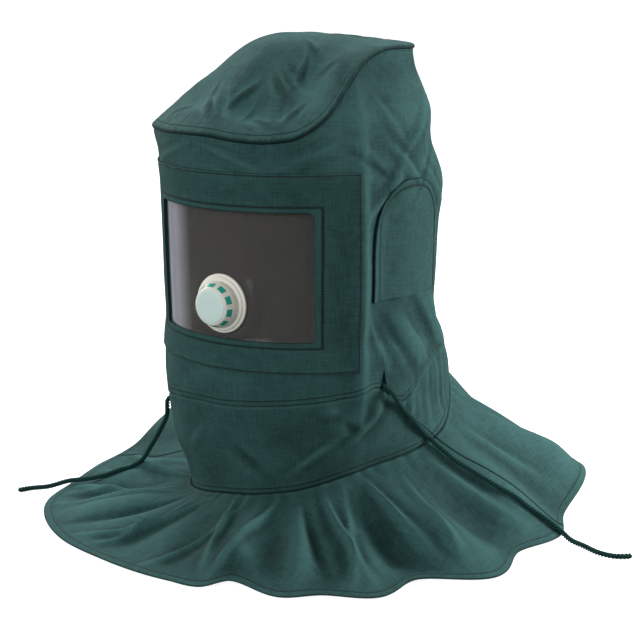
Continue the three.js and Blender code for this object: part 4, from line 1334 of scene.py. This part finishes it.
@dataclass
class Body:
    """The tall tube with the window opening, the facing round the window and the ear patches."""

    columns: int = 330
    window_columns: int = 61
    steps: int = 88
    slot_half: float = 2.4
    slot_rise: float = 22.5 * MM
    frame_angle: float = 57.6
    frame_above: float = 38.2 * MM
    frame_below: float = 32 * MM
    inner_line: float = 5.5 * MM
    seam_line: float = 4.2 * MM
    outer_line: float = 2.2 * MM
    ear_foot: float = 249 * MM
    ear_height: float = 117 * MM
    ear_middle: float = 86.0
    ear_half: float = 22.0
    ear_gap: float = 0.5 * MM
    ear_line: float = 7 * MM

    def foot(self, angle: Array) -> Array:
        """Returns the lower edge: the neck seam, notched where the cords come out."""
        off = np.abs(np.abs(wrap(angle)) - SHAPE.slot_angle) / self.slot_half
        return SHAPE.neck_top(angle) + self.slot_rise * np.clip(1 - off, 0, 1)

    def tube_angles(self, half: float) -> Array:
        """Returns the tube's columns: even ones, with more at the window and at the notches."""
        window = np.linspace(-half, half, self.window_columns)
        rest = self.columns - self.window_columns + 2
        beside = np.linspace(half, 360 - half, rest)[1:-1]
        notch = [side * SHAPE.slot_angle + share * self.slot_half
                 for side in (-1, 1) for share in (-1, -0.5, 0, 0.5, 1)]
        return spaced(np.sort(wrap(np.concatenate([window, beside, notch]))), 0.05)

    def tube_heights(self, angles: Array, half: float) -> Array:
        """Heights of the tube's rows, two of which are bent to follow the window's edges.

        Args:
            angles: the tube's columns.
            half: half the window's width as an angle.

        Returns:
            One row of heights after another, from the top down.
        """
        heights = between_seams(SHAPE.crown_seam(angles), self.foot(angles), self.steps,
                                self.seam_line)
        off = np.abs(wrap(angles))
        ease = (off < half + 12) * smooth((half + 12 - off) / 12)
        for side in (-1, 1):
            level = SHAPE.window_middle + side * SHAPE.window_height / 2
            row = int(np.argmin(np.abs(heights[:, len(angles) // 2] - level)))
            shift = (level - heights[row]) * ease
            for step in range(-6, 7):
                heights[row + step] += shift * (1 - abs(step) / 7)
        return heights

    def tube(self, stitching: Stitching) -> bpy.types.Object:
        """Makes the tube, tucked under the crown, and cuts the window out of it.

        Args:
            stitching: takes the sewn lines.

        Returns:
            The object.
        """
        half = math.degrees(math.asin(SHAPE.window_width / 2 / (SHAPE.radius * 0.99)))
        angles = self.tube_angles(half)
        heights = self.tube_heights(angles, half)
        up = heights - self.foot(angles)[None]
        seamed = np.abs(np.abs(wrap(angles))[None] - SHAPE.slot_angle) > self.slot_half
        groove_and_shade = line_groove(up - self.seam_line) * seamed
        lapped = smooth((SHAPE.seam_fold - up) / (3 * MM))
        radius = SHAPE.wall(angles[None], heights) + 0.3 * MM * lapped - 0.45 * MM * groove_and_shade
        under = edge_steps(1.2 * MM, 7 * MM, 2.4 * MM)[1:][::-1, None]
        seam = SHAPE.crown_seam(angles)[None]
        share = 1 - under / SHAPE.radius
        below = SHAPE.crown(angles[None], share) - SHAPE.cloth - 1.0 * MM - 0.4 * under
        tucked = SHAPE.place(SHAPE.wall(angles, seam[0])[None] * share, angles[None], below)
        points = np.concatenate([tucked, SHAPE.place(radius, angles[None], heights)])
        groove_and_shade = shaded_seam(groove_and_shade, len(tucked))
        flat = np.stack(np.broadcast_arrays(
            np.radians(angles)[None] * SHAPE.radius,
            np.concatenate([seam + under, heights])), -1)
        grid = Grid(points, flat, wear_and_shade_of(points, True), groove_and_shade, True)
        row = int(np.argmin(np.abs(up[:, 0] - self.seam_line))) + len(tucked)
        self.stitch_foot(stitching, grid, row, seamed[0])
        piece = cloth_object("body_cloth", grid, SHAPE.cloth, Finish.CANVAS)
        cut_away(piece, rounded_prism())
        return piece

    def stitch_foot(self, stitching: Stitching, grid: Grid, row: int, seamed: Array) -> None:
        """Adds the sewn line above the neck seam, which stops at the cords' notches.

        Args:
            stitching: takes the sewn lines.
            grid: the tube's outside.
            row: the row that the line follows.
            seamed: which columns are sewn.
        """
        line, normals = grid.points[row], grid.normals()[row]
        breaks = np.flatnonzero(np.diff(seamed.astype(int)) != 0) + 1
        for part in np.split(np.arange(len(seamed)), breaks):
            if seamed[part[0]] and len(part) > 3:
                stitching.add(line[part], normals[part])

    def patch(self, angles: Array, heights: Array, lift: Array, groove_and_shade: Array,
              gap: float) -> Grid:
        """Returns a patch of facing on the outside of the wall.

        Args:
            angles: its angles.
            heights: its heights.
            lift: how far it stands off, besides its gap and thickness.
            groove_and_shade: its sewn lines, sunk and darkened by painted shade.
            gap: its gap to the wall.

        Returns:
            The patch's outside.
        """
        radius = SHAPE.wall(angles, heights) + gap + SHAPE.facing + lift
        points = SHAPE.place(radius, angles, heights)
        flat = np.stack([np.radians(angles) * SHAPE.radius, heights], -1)
        return Grid(points, flat, wear_and_shade_of(points, False), groove_and_shade)

    def facing_places(self, low: float, high: float) -> tuple:
        """Angles and heights of the facing's grid, close together at its sewn lines.

        Args:
            low: the facing's lower edge.
            high: its upper edge.

        Returns:
            Two arrays, rows from the top down.
        """
        edge = edge_steps(0.55 * MM, 8 * MM, 2.0 * MM, self.outer_line)
        out_x = SHAPE.window_width / 2 + self.inner_line
        out_z = SHAPE.window_height / 2 + self.inner_line
        rows = np.concatenate([
            high - edge, np.linspace(high - edge[-1], low + edge[-1], 110)[1:-1],
            low + edge[::-1], SHAPE.window_middle + out_z + CLOSE_STEPS,
            SHAPE.window_middle - out_z + CLOSE_STEPS])
        rows = -spaced(-np.sort(rows)[::-1], 0.15 * MM)
        reach = np.degrees(edge / SHAPE.radius)
        side = self.frame_angle
        inner = np.degrees(np.arcsin((out_x + CLOSE_STEPS) / SHAPE.radius))
        wide = np.concatenate([
            -side + reach, np.linspace(-side + reach[-1], side - reach[-1], 170)[1:-1],
            side - reach[::-1], inner, -inner])
        return np.meshgrid(spaced(np.sort(wide), 0.06), rows)

    def window_facing(self, stitching: Stitching) -> bpy.types.Object:
        """Makes the facing round the window with its inner and outer sewn lines.

        Args:
            stitching: takes the sewn lines.

        Returns:
            The object.
        """
        low = SHAPE.window_middle - SHAPE.window_height / 2 - self.frame_below
        high = SHAPE.window_middle + SHAPE.window_height / 2 + self.frame_above
        angles, heights = self.facing_places(low, high)
        from_side = np.radians(self.frame_angle - np.abs(angles)) * SHAPE.radius
        from_edge = np.minimum(from_side, np.minimum(heights - low, high - heights))
        across = np.abs(np.sin(np.radians(angles))) * SHAPE.radius - SHAPE.window_width / 2
        upward = np.abs(heights - SHAPE.window_middle) - SHAPE.window_height / 2
        from_window = np.maximum(across, upward)
        groove_and_shade = np.maximum(line_groove(from_edge - self.outer_line),
                            line_groove(from_window - self.inner_line, 0.8 * MM))
        lift = -0.9 * MM * smooth((2 * MM - from_edge) / (2 * MM)) - 0.30 * MM * groove_and_shade
        lift = lift + 0.3 * MM * smooth((5 * MM - from_window) / (3 * MM))
        grid = self.patch(angles, heights, lift, groove_and_shade, SHAPE.gap)
        piece = cloth_object("window_facing_cloth", grid, SHAPE.facing, Finish.FACING)
        cut_away(piece, rounded_prism())
        out_x = SHAPE.window_width / 2 + self.inner_line
        out_z = SHAPE.window_height / 2 + self.inner_line
        self.stitch_box(stitching, math.degrees(math.asin(min(out_x / SHAPE.radius, 0.999))),
                        SHAPE.window_middle + out_z, SHAPE.window_middle - out_z)
        self.stitch_box(stitching, self.frame_angle - math.degrees(self.outer_line / SHAPE.radius),
                        high - self.outer_line, low + self.outer_line)
        return piece

    def stitch_box(self, stitching: Stitching, side: float, top: float, bottom: float) -> None:
        """Adds four straight sewn lines on the facing that meet in corners.

        Args:
            stitching: takes the sewn lines.
            side: the angle of the upright ones, on both sides.
            top: the height of the upper one.
            bottom: the height of the lower one.
        """
        across = np.linspace(-side, side, 240)
        upward = np.linspace(bottom, top, 160)
        lift = SHAPE.gap + SHAPE.facing
        for angles, heights in ((across, np.full(240, top)), (across, np.full(240, bottom)),
                                (np.full(160, side), upward), (np.full(160, -side), upward)):
            points = SHAPE.place(SHAPE.wall(angles, heights) + lift, angles, heights)
            stitching.add(points, SHAPE.outward(angles))

    def ear(self, name: str, side: int, stitching: Stitching) -> bpy.types.Object:
        """Makes an arched ear patch: rings shrink from its outline to its middle line, and its
        front edge stands a little off the wall.

        Args:
            name: the CAD node that it stands for.
            side: 1 on the right and -1 on the left.
            stitching: takes the sewn line.

        Returns:
            The object.
        """
        half = self.ear_half
        wide = np.concatenate([np.linspace(-1, -0.88, 9)[:-1], np.linspace(-0.88, 0.88, 72),
                               np.linspace(0.88, 1, 9)[1:]])
        shares = np.concatenate([np.linspace(1, 0.90, 9)[:-1], np.linspace(0.90, 0, 70)])
        arch = self.ear_arch(wide)
        angles = np.broadcast_to(side * self.ear_middle + half * wide, (len(shares), len(wide)))
        heights = self.ear_foot + arch[None] * shares[:, None]
        from_side = np.radians(half * (1 - np.abs(wide)))[None] * SHAPE.radius
        from_edge = np.minimum(from_side, arch[None] * (1 - shares[:, None]))
        groove_and_shade = line_groove(from_edge - self.ear_line, 0.9 * MM)
        front_edge = smooth((-side * wide[None] - 0.6) / 0.4)
        lift = 1.3 * MM * front_edge - 0.4 * MM * groove_and_shade
        lift = lift + 0.3 * MM * smooth((8 * MM - from_edge) / (3 * MM))
        grid = self.patch(angles, heights, lift, groove_and_shade, self.ear_gap)
        self.stitch_arch(stitching, side)
        return cloth_object(f"{name}_cloth", grid, SHAPE.facing, Finish.FACING)

    def ear_arch(self, wide: Array) -> Array:
        """Returns the height of the ear patch at shares of its half width."""
        return self.ear_height * (0.42 + 0.58 * np.sqrt(np.clip(1 - np.abs(wide) ** 2.4, 0, 1)))

    def stitch_arch(self, stitching: Stitching, side: int) -> None:
        """Adds the sewn line inside an ear patch's edge: up one side, over and down the other.

        Args:
            stitching: takes the sewn line.
            side: 1 on the right and -1 on the left.
        """
        inset = self.ear_line / (SHAPE.radius * math.radians(self.ear_half))
        wide = np.concatenate([np.full(60, -1 + inset), np.linspace(-1 + inset, 1 - inset, 160),
                               np.full(60, 1 - inset)])
        share = np.concatenate([np.linspace(0.0, 1, 60), np.ones(160), np.linspace(1, 0.0, 60)])
        angles = side * self.ear_middle + self.ear_half * wide
        heights = self.ear_foot + (self.ear_arch(wide) - self.ear_line) * share
        lift = self.ear_gap + SHAPE.facing + 0.1 * MM
        points = SHAPE.place(SHAPE.wall(angles, heights) + lift, angles, heights)
        stitching.add(points, SHAPE.outward(angles))

    def build(self, stitching: Stitching) -> None:
        """Makes the tube, its facing and the two ear patches."""
        for piece, node, flat, held, under, area in (
            (self.tube(stitching), "hood_body", (0.93, 0.40), "hung", "crown_panel", 0.275),
            (self.window_facing(stitching), "window_frame", (0.29, 0.20), "stretched",
             "hood_body", 0.034),
            *((self.ear(name, side, stitching), name, (0.110, 0.118), "stretched", "hood_body",
               0.0112) for name, side in (("ear_flap_right", 1), ("ear_flap_left", -1))),
        ):
            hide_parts(node)
            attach(piece, "root")
            LOG.info("%s", node)


def rounded_prism() -> bpy.types.Object:
    """Makes the upright prism with rounded corners that cuts the window through the front."""
    half_x, half_z, corner = SHAPE.window_width / 2, SHAPE.window_height / 2, SHAPE.window_corner
    arcs = []
    for index, (x, z) in enumerate(((1, 1), (-1, 1), (-1, -1), (1, -1))):
        turn = np.radians(np.arange(0, 91, 9) + 90 * index)
        arcs.append(np.stack([np.cos(turn), np.sin(turn)], -1) * corner
                    + [x * (half_x - corner), z * (half_z - corner)])
    outline = np.concatenate(arcs)
    count = len(outline)
    middle = SHAPE.window_middle - SHAPE.seat()
    front = np.stack([outline[:, 0], np.full(count, -0.20), outline[:, 1] + middle], -1)
    back = front + [0, 0.145, 0]
    ring = np.arange(count)
    side = np.stack([ring, np.roll(ring, -1), np.roll(ring, -1) + count, ring + count], -1)
    mesh = bpy.data.meshes.new("prism")
    mesh.from_pydata(np.concatenate([front, back]).tolist(), [],
                     [list(ring)[::-1], list(ring + count), *side.tolist()])
    mesh.update()
    prism = new_object("prism", mesh)
    clean_up(prism)
    return prism


def cut_away(piece: bpy.types.Object, cutter: bpy.types.Object) -> None:
    """Cuts a closed object's shape out of a piece, and removes the cutter."""
    cut = piece.modifiers.new("cut", "BOOLEAN")
    cut.operation = "DIFFERENCE"
    cut.solver = "EXACT"
    cut.object = cutter
    graph = bpy.context.evaluated_depsgraph_get()
    mesh = bpy.data.meshes.new_from_object(piece.evaluated_get(graph))
    piece.modifiers.clear()
    old = piece.data
    piece.data = mesh
    bpy.data.meshes.remove(old)
    bpy.data.objects.remove(cutter)


@dataclass
class Neck:
    """The plain front band and the gathered back band, lapped under the tube."""

    end: float = 72.0
    seam_line: float = 4.0 * MM

    def band(self, name: str, tops: Array, bottoms: Array, stitching: Stitching,
             gather: float) -> bpy.types.Object:
        """Makes a band whose columns lean from the tube's angles to the cape's.

        Args:
            name: the CAD node that it stands for.
            tops: its angles at the upper edge.
            bottoms: its angles at the lower edge.
            stitching: takes the sewn line.
            gather: how deep its gathers are.

        Returns:
            The object.
        """
        top = SHAPE.neck_top(tops) - SHAPE.gap
        bottom = SHAPE.neck_bottom(bottoms)
        heights = between_seams(top, bottom, 34, self.seam_line)
        down = top[None] - heights
        share = down / (top - bottom)[None]
        angles = tops[None] + (bottoms - tops)[None] * share
        radius = SHAPE.wall(angles, heights)
        up = heights - bottom[None]
        groove_and_shade = line_groove(up - self.seam_line)
        lapped = smooth((SHAPE.seam_fold - up) / (3 * MM))
        folds = ripple(angles / 360, 3, 5, 34, 70) * smooth(share / 0.15) * smooth((1 - share) / 0.3)
        radius = radius + 0.3 * MM * lapped - 0.45 * MM * groove_and_shade + gather * folds
        under = edge_steps(0.8 * MM, 7 * MM, 2.4 * MM)[1:][::-1, None]
        slot = smooth((8 - np.abs(np.abs(wrap(tops)) - SHAPE.slot_angle)) / 3)
        under = under * (1 + 2.6 * slot)[None]
        first = len(under)
        ease = smooth(down / (3 * MM))
        near_top = smooth((12 * MM - down) / (3 * MM))
        radius = radius - (SHAPE.cloth + SHAPE.gap) * (1 - ease) * near_top
        points = np.concatenate([tucked_rows(tops, top, under),
                                 SHAPE.place(radius, angles, heights)])
        groove_and_shade = shaded_seam(groove_and_shade, first)
        across = np.concatenate([np.broadcast_to(tops, (first, len(tops))), angles])
        flat = np.stack([np.radians(across) * SHAPE.radius,
                         np.concatenate([top[None] + under, heights])], -1)
        grid = Grid(points, flat, wear_and_shade_of(points, False), groove_and_shade)
        row = int(np.argmin(np.abs(up[:, 0] - self.seam_line))) + first
        stitching.add(grid.points[row], grid.normals()[row])
        return cloth_object(f"{name}_cloth", grid, SHAPE.cloth, Finish.CANVAS)

    def build(self, stitching: Stitching) -> None:
        """Makes the two bands."""
        span = np.linspace(0, 1, 170)
        right, left = SHAPE.shoulder_right[0], SHAPE.shoulder_left[0]
        front = self.band("neck_band_front", -self.end + 2 * self.end * span,
                          left + (right - left) * span, stitching, 0.0)
        back = self.band("neck_band_back", self.end + (360 - 2 * self.end) * span,
                         right + (left + 360 - right) * span, stitching, 0.5 * MM)
        for piece, name, flat, area in ((front, "neck_band_front", (0.42, 0.12), 0.042),
                                        (back, "neck_band_back", (0.52, 0.085), 0.036)):
            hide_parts(name)
            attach(piece, "root")
            LOG.info("%s", name)


@dataclass
class Cape:
    """The front and back halves over chest and shoulders, hemmed and sewn at the shoulders."""

    hem: float = 8.5 * MM
    hem_line: float = 7.0 * MM

    def rows(self, necks: Array, hems: Array) -> tuple:
        """Returns the length of each column, the rows' shares down it, and the distances of the
        lowest rows from the hem."""
        share = np.linspace(0, 1, 40)[:, None]
        coarse = SHAPE.cape(necks[None] + (hems - necks)[None] * share, share)
        length = np.linalg.norm(np.diff(coarse, axis=0), axis=2).sum(0)
        near = edge_steps(0.9 * MM, 12 * MM, 3 * MM)
        close = edge_steps(0.55 * MM, 12 * MM, 2.4 * MM, self.hem_line)
        start, stop = near[-1] / length, 1 - close[-1] / length
        shares = np.linspace(0, 1, 80)[1:-1, None]
        down = np.concatenate([near[:, None] / length, start + (stop - start) * shares,
                               1 - close[::-1, None] / length])
        return length, down, close

    def half(self, name: str, necks: Array, hems: Array,
             stitching: Stitching) -> bpy.types.Object:
        """Makes half of the cape: rows at fixed distances near neck and hem, columns that lean
        from their angles at the neck to those at the hem.

        Args:
            name: the CAD node that it stands for.
            necks: its angles at the neck.
            hems: its angles at the hem.
            stitching: takes the sewn lines.

        Returns:
            The object.
        """
        length, down, close = self.rows(necks, hems)
        angles = necks[None] + (hems - necks)[None] * down
        points = SHAPE.cape(angles, down)
        normals = Grid(points, points[..., :2], down, down).normals()
        from_hem = (1 - down) * length[None]
        from_neck = down * length[None]
        groove_and_shade = line_groove(from_hem - self.hem_line)
        turned = smooth((self.hem + 0.5 * MM - from_hem) / (0.9 * MM))
        offset = 0.5 * MM * turned - 0.45 * MM * groove_and_shade
        offset = offset - (SHAPE.cloth + SHAPE.gap) * (1 - smooth(from_neck / (4 * MM)))
        points = points + normals * offset[..., None]
        points[..., 2] = np.maximum(points[..., 2], SHAPE.cloth + 0.2 * MM - SHAPE.seat())
        under = edge_steps(1.0 * MM, 7 * MM, 2.4 * MM)[1:][::-1, None]
        neck = SHAPE.neck_bottom(necks) - SHAPE.gap
        points = np.concatenate([tucked_rows(necks, neck, under), points])
        first = len(under)
        groove_and_shade = shaded_seam(groove_and_shade, first)
        radial = np.concatenate([-np.broadcast_to(under, (first, len(necks))), from_neck]) + SHAPE.radius
        turn = np.radians(np.concatenate([np.broadcast_to(necks, (first, len(necks))), angles]))
        flat = np.stack([radial * np.sin(turn), radial * np.cos(turn)], -1)
        # Painted shade along both side edges of the half, where the halves meet at the shoulders.
        side = np.minimum(np.arange(len(necks)), np.arange(len(necks))[::-1])
        groove_and_shade = np.maximum(groove_and_shade, 0.9 * (side == 0)[None])
        grid = Grid(points, flat, wear_and_shade_of(points, False), groove_and_shade)
        row = len(points) - 1 - int(np.argmin(np.abs(close - self.hem_line)))
        stitching.add(grid.points[row], grid.normals()[row])
        return cloth_object(f"{name}_cloth", grid, SHAPE.cloth, Finish.CANVAS)

    def spread(self, first: float, last: float, count: int) -> Array:
        """Returns even columns, drawn in a little at both ends so that the halves stay apart."""
        gap = math.degrees(SHAPE.gap / SHAPE.radius) * 0.15
        share = np.linspace(0, 1, count)
        return first + gap + (last - first - 2 * gap) * share

    def build(self, stitching: Stitching) -> None:
        """Makes the two halves."""
        right, left = SHAPE.shoulder_right, SHAPE.shoulder_left
        front = self.half("cape_front", self.spread(left[0], right[0], 300),
                          self.spread(left[1], right[1], 300), stitching)
        back = self.half("cape_back", self.spread(right[0], left[0] + 360, 240),
                         self.spread(right[1], left[1] + 360, 240), stitching)
        for piece, name, flat, area in ((front, "cape_front", (0.62, 0.36), 0.115),
                                        (back, "cape_back", (0.60, 0.33), 0.115)):
            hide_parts(name)
            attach(piece, "root")
            LOG.info("%s", name)


@dataclass
class Window:
    """The clear film behind the window opening, flat round the valve."""

    film: float = 1.0 * MM
    lap: float = 9 * MM
    lap_angle: float = 5.0

    def point(self, angle: Array, height: Array) -> Array:
        """Points on the front of the film: behind the wall at its sewn edge, deeper inside the
        window, and on a flat disc round the valve."""
        across = (SHAPE.window_width / 2 - np.abs(SHAPE.radius * np.sin(np.radians(angle)))) / self.lap
        upward = (SHAPE.window_height / 2 - np.abs(height - SHAPE.window_middle)) / self.lap
        inside = smooth((np.minimum(across, upward) + 0.5) / 0.8)
        depth = SHAPE.cloth + SHAPE.gap + (SHAPE.film_inset - SHAPE.gap) * inside
        points = SHAPE.place(SHAPE.smooth_wall(angle, height) - depth, angle, height)
        middle, axis = VALVE.frame()
        off = points - middle
        lift = off @ axis
        away = np.linalg.norm(off - lift[..., None] * axis, axis=-1)
        low, high = VALVE.diameter * 0.50, VALVE.diameter * 0.80
        flat = inside * (1 - smooth((away - low) / (high - low)))
        return points - axis * (lift * flat)[..., None]

    def build(self) -> None:
        """Makes the film with its round hole."""
        side = math.degrees(math.asin(SHAPE.window_width / 2 / SHAPE.radius)) + self.lap_angle
        low = SHAPE.window_middle - SHAPE.window_height / 2 - self.lap
        high = SHAPE.window_middle + SHAPE.window_height / 2 + self.lap
        angles, heights = np.meshgrid(np.linspace(-side, side, 120), np.linspace(high, low, 90))
        points = self.point(angles, heights)
        flat = np.stack([np.radians(angles) * SHAPE.radius, heights], -1)
        grid = Grid(points, flat, np.zeros(angles.shape), np.zeros(angles.shape))
        piece = cloth_object("clear_window", grid, self.film, Finish.FILM)
        cut_away(piece, VALVE.drill())
        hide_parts("visor")
        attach(piece, "root")
        LOG.info("window film")


@dataclass
class Valve:
    """The breathing valve: ring, turquoise disc and slotted cap, turned about its own axis."""

    angle: float = -0.5
    diameter: float = 59 * MM
    clearance: float = 5 * MM
    fit: float = 0.3 * MM
    proud: float = 5.5 * MM
    cap: float = 46 * MM
    cap_height: float = 15 * MM
    slots: int = 10
    first_slot: float = -4.0

    def frame(self) -> tuple:
        """Returns its middle on the film and the way it points."""
        height = SHAPE.window_middle - SHAPE.window_height / 2 + self.diameter / 2 + self.clearance
        wall = SHAPE.smooth_wall(np.array([self.angle]), np.array([height]))[0]
        radius = wall - SHAPE.cloth - SHAPE.film_inset
        middle = SHAPE.place(radius, self.angle, height)
        axis = SHAPE.place(1.0, self.angle, SHAPE.seat())
        return middle, axis

    def swept(self, radius: Array, out: Array, turn: Array) -> Array:
        """Points at distances from the valve's axis and along it, at angles from its top.

        Args:
            radius: the distance from the axis in each row.
            out: the distance along the axis in each row.
            turn: the angle in each column.

        Returns:
            A grid of points in the row frame.
        """
        middle, axis = self.frame()
        upright = np.array([0.0, 0.0, 1.0])
        right = unit(np.cross(upright, axis))
        round_axis = np.sin(turn)[None, :, None] * right + np.cos(turn)[None, :, None] * upright
        return middle + radius[:, None, None] * round_axis + out[:, None, None] * axis

    def turned(self, name: str, profile: list, finish: Finish,
               sides: int = 96) -> bpy.types.Object:
        """Turns a profile of (radius, distance out) about the valve's axis.

        Args:
            name: the object's name.
            profile: its points in millimetres, from one pole or edge to the other.
            finish: its material.
            sides: how many steps the turn has.

        Returns:
            The object.
        """
        line = np.array(profile, float) * MM
        turn = np.linspace(0, 2 * np.pi, sides, endpoint=False)
        points = self.swept(line[:, 0], line[:, 1], turn)
        faces = quads(len(line), sides, True)
        piece = make_mesh(name, points.reshape(-1, 3), [faces], finish)
        clean_up(piece)
        return piece

    def drill(self) -> bpy.types.Object:
        """Makes the rod that cuts the hole in the film."""
        size = self.diameter / MM * 0.3
        return self.turned("drill", [(0, 10), (size, 10), (size, -10), (0, -10)], Finish.WHITE, 64)

    def ring(self) -> bpy.types.Object:
        """Makes the ring: a stepped front rim, a neck through the film and a rim behind."""
        outer, size = self.diameter / MM / 2, self.diameter / MM
        neck, bore, fit, film = size * 0.3 - 0.3, self.cap / MM * 0.30, 0.3, 1.0
        rear = -film - fit
        profile = [
            (bore, rear - 2.4), (outer * 0.7 - 0.4, rear - 2.4), (outer * 0.7, rear - 2.0),
            (outer * 0.7, rear), (neck, rear), (neck, fit), (outer - 0.3, fit), (outer, fit + 0.4),
            (outer, fit + 1.7), (outer - 0.2, fit + 2.3), (outer - 0.9, fit + 2.7),
            (outer * 0.93, fit + 2.9), (outer * 0.91, fit + 3.4), (outer * 0.90, 5.0),
            (outer * 0.885, 5.35), (outer * 0.86, 5.5), (bore + 0.3, 5.5), (bore, 5.2), (bore, rear - 2.4),
        ]
        return self.turned("valve_ring", profile, Finish.WHITE)

    def disc(self) -> bpy.types.Object:
        """Makes the turquoise disc with its domed seat that fills the slots."""
        wide, low = self.cap / MM * 0.42, self.proud / MM + 0.3
        profile = [(0, low), (wide - 0.3, low), (wide, low + 0.3), (wide, low + 1.1),
                   (wide - 0.3, low + 1.4), (0, low + 1.4)]
        return self.turned("valve_disc", profile, Finish.RUBBER)

    def cover(self) -> bpy.types.Object:
        """Makes the cap: a wall, a sloping shoulder with slots and a flat centre."""
        outer, foot, tall = self.cap / MM / 2, self.proud / MM + 0.3, self.cap_height / MM
        inside = [(0, foot + 3.2), (outer * 0.86, foot + 3.2), (outer * 0.86, foot),
                  (outer - 0.3, foot), (outer, foot + 0.4)]
        outside = ((1, 0.28), (0.985, 0.36), (0.95, 0.48), (0.9, 0.66), (0.85, 0.82), (0.81, 0.91),
                   (0.76, 0.96), (0.735, 0.95), (0.71, 0.97), (0.6, 0.99), (0.3, 1), (0, 1))
        profile = inside + [(outer * wide, foot + tall * high) for wide, high in outside]
        return self.turned("valve_cover", profile, Finish.WHITE)

    def badge(self) -> bpy.types.Object:
        """Makes the mint centre of the cap, a shallow plain disc."""
        outer, top = self.cap / MM / 2, self.proud / MM + 0.3 + self.cap_height / MM
        profile = [(outer * 0.73, top - 0.9), (outer * 0.73, top - 0.25), (outer * 0.71, top + 0.05),
                   (outer * 0.6, top + 0.25), (outer * 0.3, top + 0.35), (0, top + 0.38)]
        return self.turned("valve_centre", profile, Finish.MINT)

    def windows(self) -> bpy.types.Object:
        """Makes the turquoise fields on the shoulder: short curved plates along the slope."""
        axis = self.frame()[1]
        outer, foot, tall = self.cap / 2, self.proud + self.fit, self.cap_height
        rows = np.array([(0.945, 0.50), (0.922, 0.58), (0.897, 0.67), (0.868, 0.765), (0.838, 0.855)])
        points, faces = [], []
        for index in range(self.slots):
            start = math.radians(self.first_slot + index * 360 / self.slots)
            turn = start + np.radians(np.linspace(-11, 11, 9))
            skin = self.swept(rows[:, 0] * outer, foot + rows[:, 1] * tall + 0.16 * MM, turn)
            under = skin - axis * 0.5 * MM
            count = skin.shape[0] * skin.shape[1]
            shift = sum(len(part) for part in points)
            top = quads(len(rows), 9, False, shift)
            loop = looped(border(np.arange(count).reshape(len(rows), 9) + shift))
            points += [skin.reshape(-1, 3), under.reshape(-1, 3)]
            faces += [top, (top + count)[:, ::-1], edge_strip(loop, loop + count)]
        piece = make_mesh("valve_slots", np.concatenate(points), [np.concatenate(faces)], Finish.RUBBER)
        clean_up(piece)
        return piece

    def build(self) -> None:
        """Makes the ring, the disc, the cap, its centre and the fields in its slots."""
        ring, disc, cover = self.ring(), self.disc(), self.cover()
        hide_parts("valve_flange")
        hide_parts("valve_membrane")
        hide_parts("valve_cap")
        for piece in (ring, disc, cover, self.badge(), self.windows()):
            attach(piece, "root")
            LOG.info("%s", piece.name)


VALVE = Valve()


def clean_up(piece: bpy.types.Object) -> None:
    """Merges doubled points at poles and seams and turns the faces of a closed piece outwards."""
    mesh = bmesh.new()
    mesh.from_mesh(piece.data)
    bmesh.ops.remove_doubles(mesh, verts=mesh.verts, dist=1e-6)
    bmesh.ops.recalc_face_normals(mesh, faces=mesh.faces)
    for edge in mesh.edges:
        if len(edge.link_faces) == 2 and edge.calc_face_angle(0) > math.radians(42):
            edge.smooth = False
    mesh.to_mesh(piece.data)
    mesh.free()


def main() -> None:
    """Builds the scene and then each sub-assembly."""
    logging.basicConfig(level=logging.INFO, format="%(name)s: %(message)s")
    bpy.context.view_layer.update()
    Stage().build()
    Drawcord("right", CORD_RIGHT_ROUTE).build()
    Drawcord("left", CORD_LEFT_ROUTE).build()
    stitching = Stitching("seam_stitches")
    Crown().build(stitching)
    Body().build(stitching)
    Neck().build(stitching)
    Cape().build(stitching)
    Window().build()
    VALVE.build()
    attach(stitching.make(), "root")
    LOG.info("stitches")


if __name__ == "__main__":
    main()
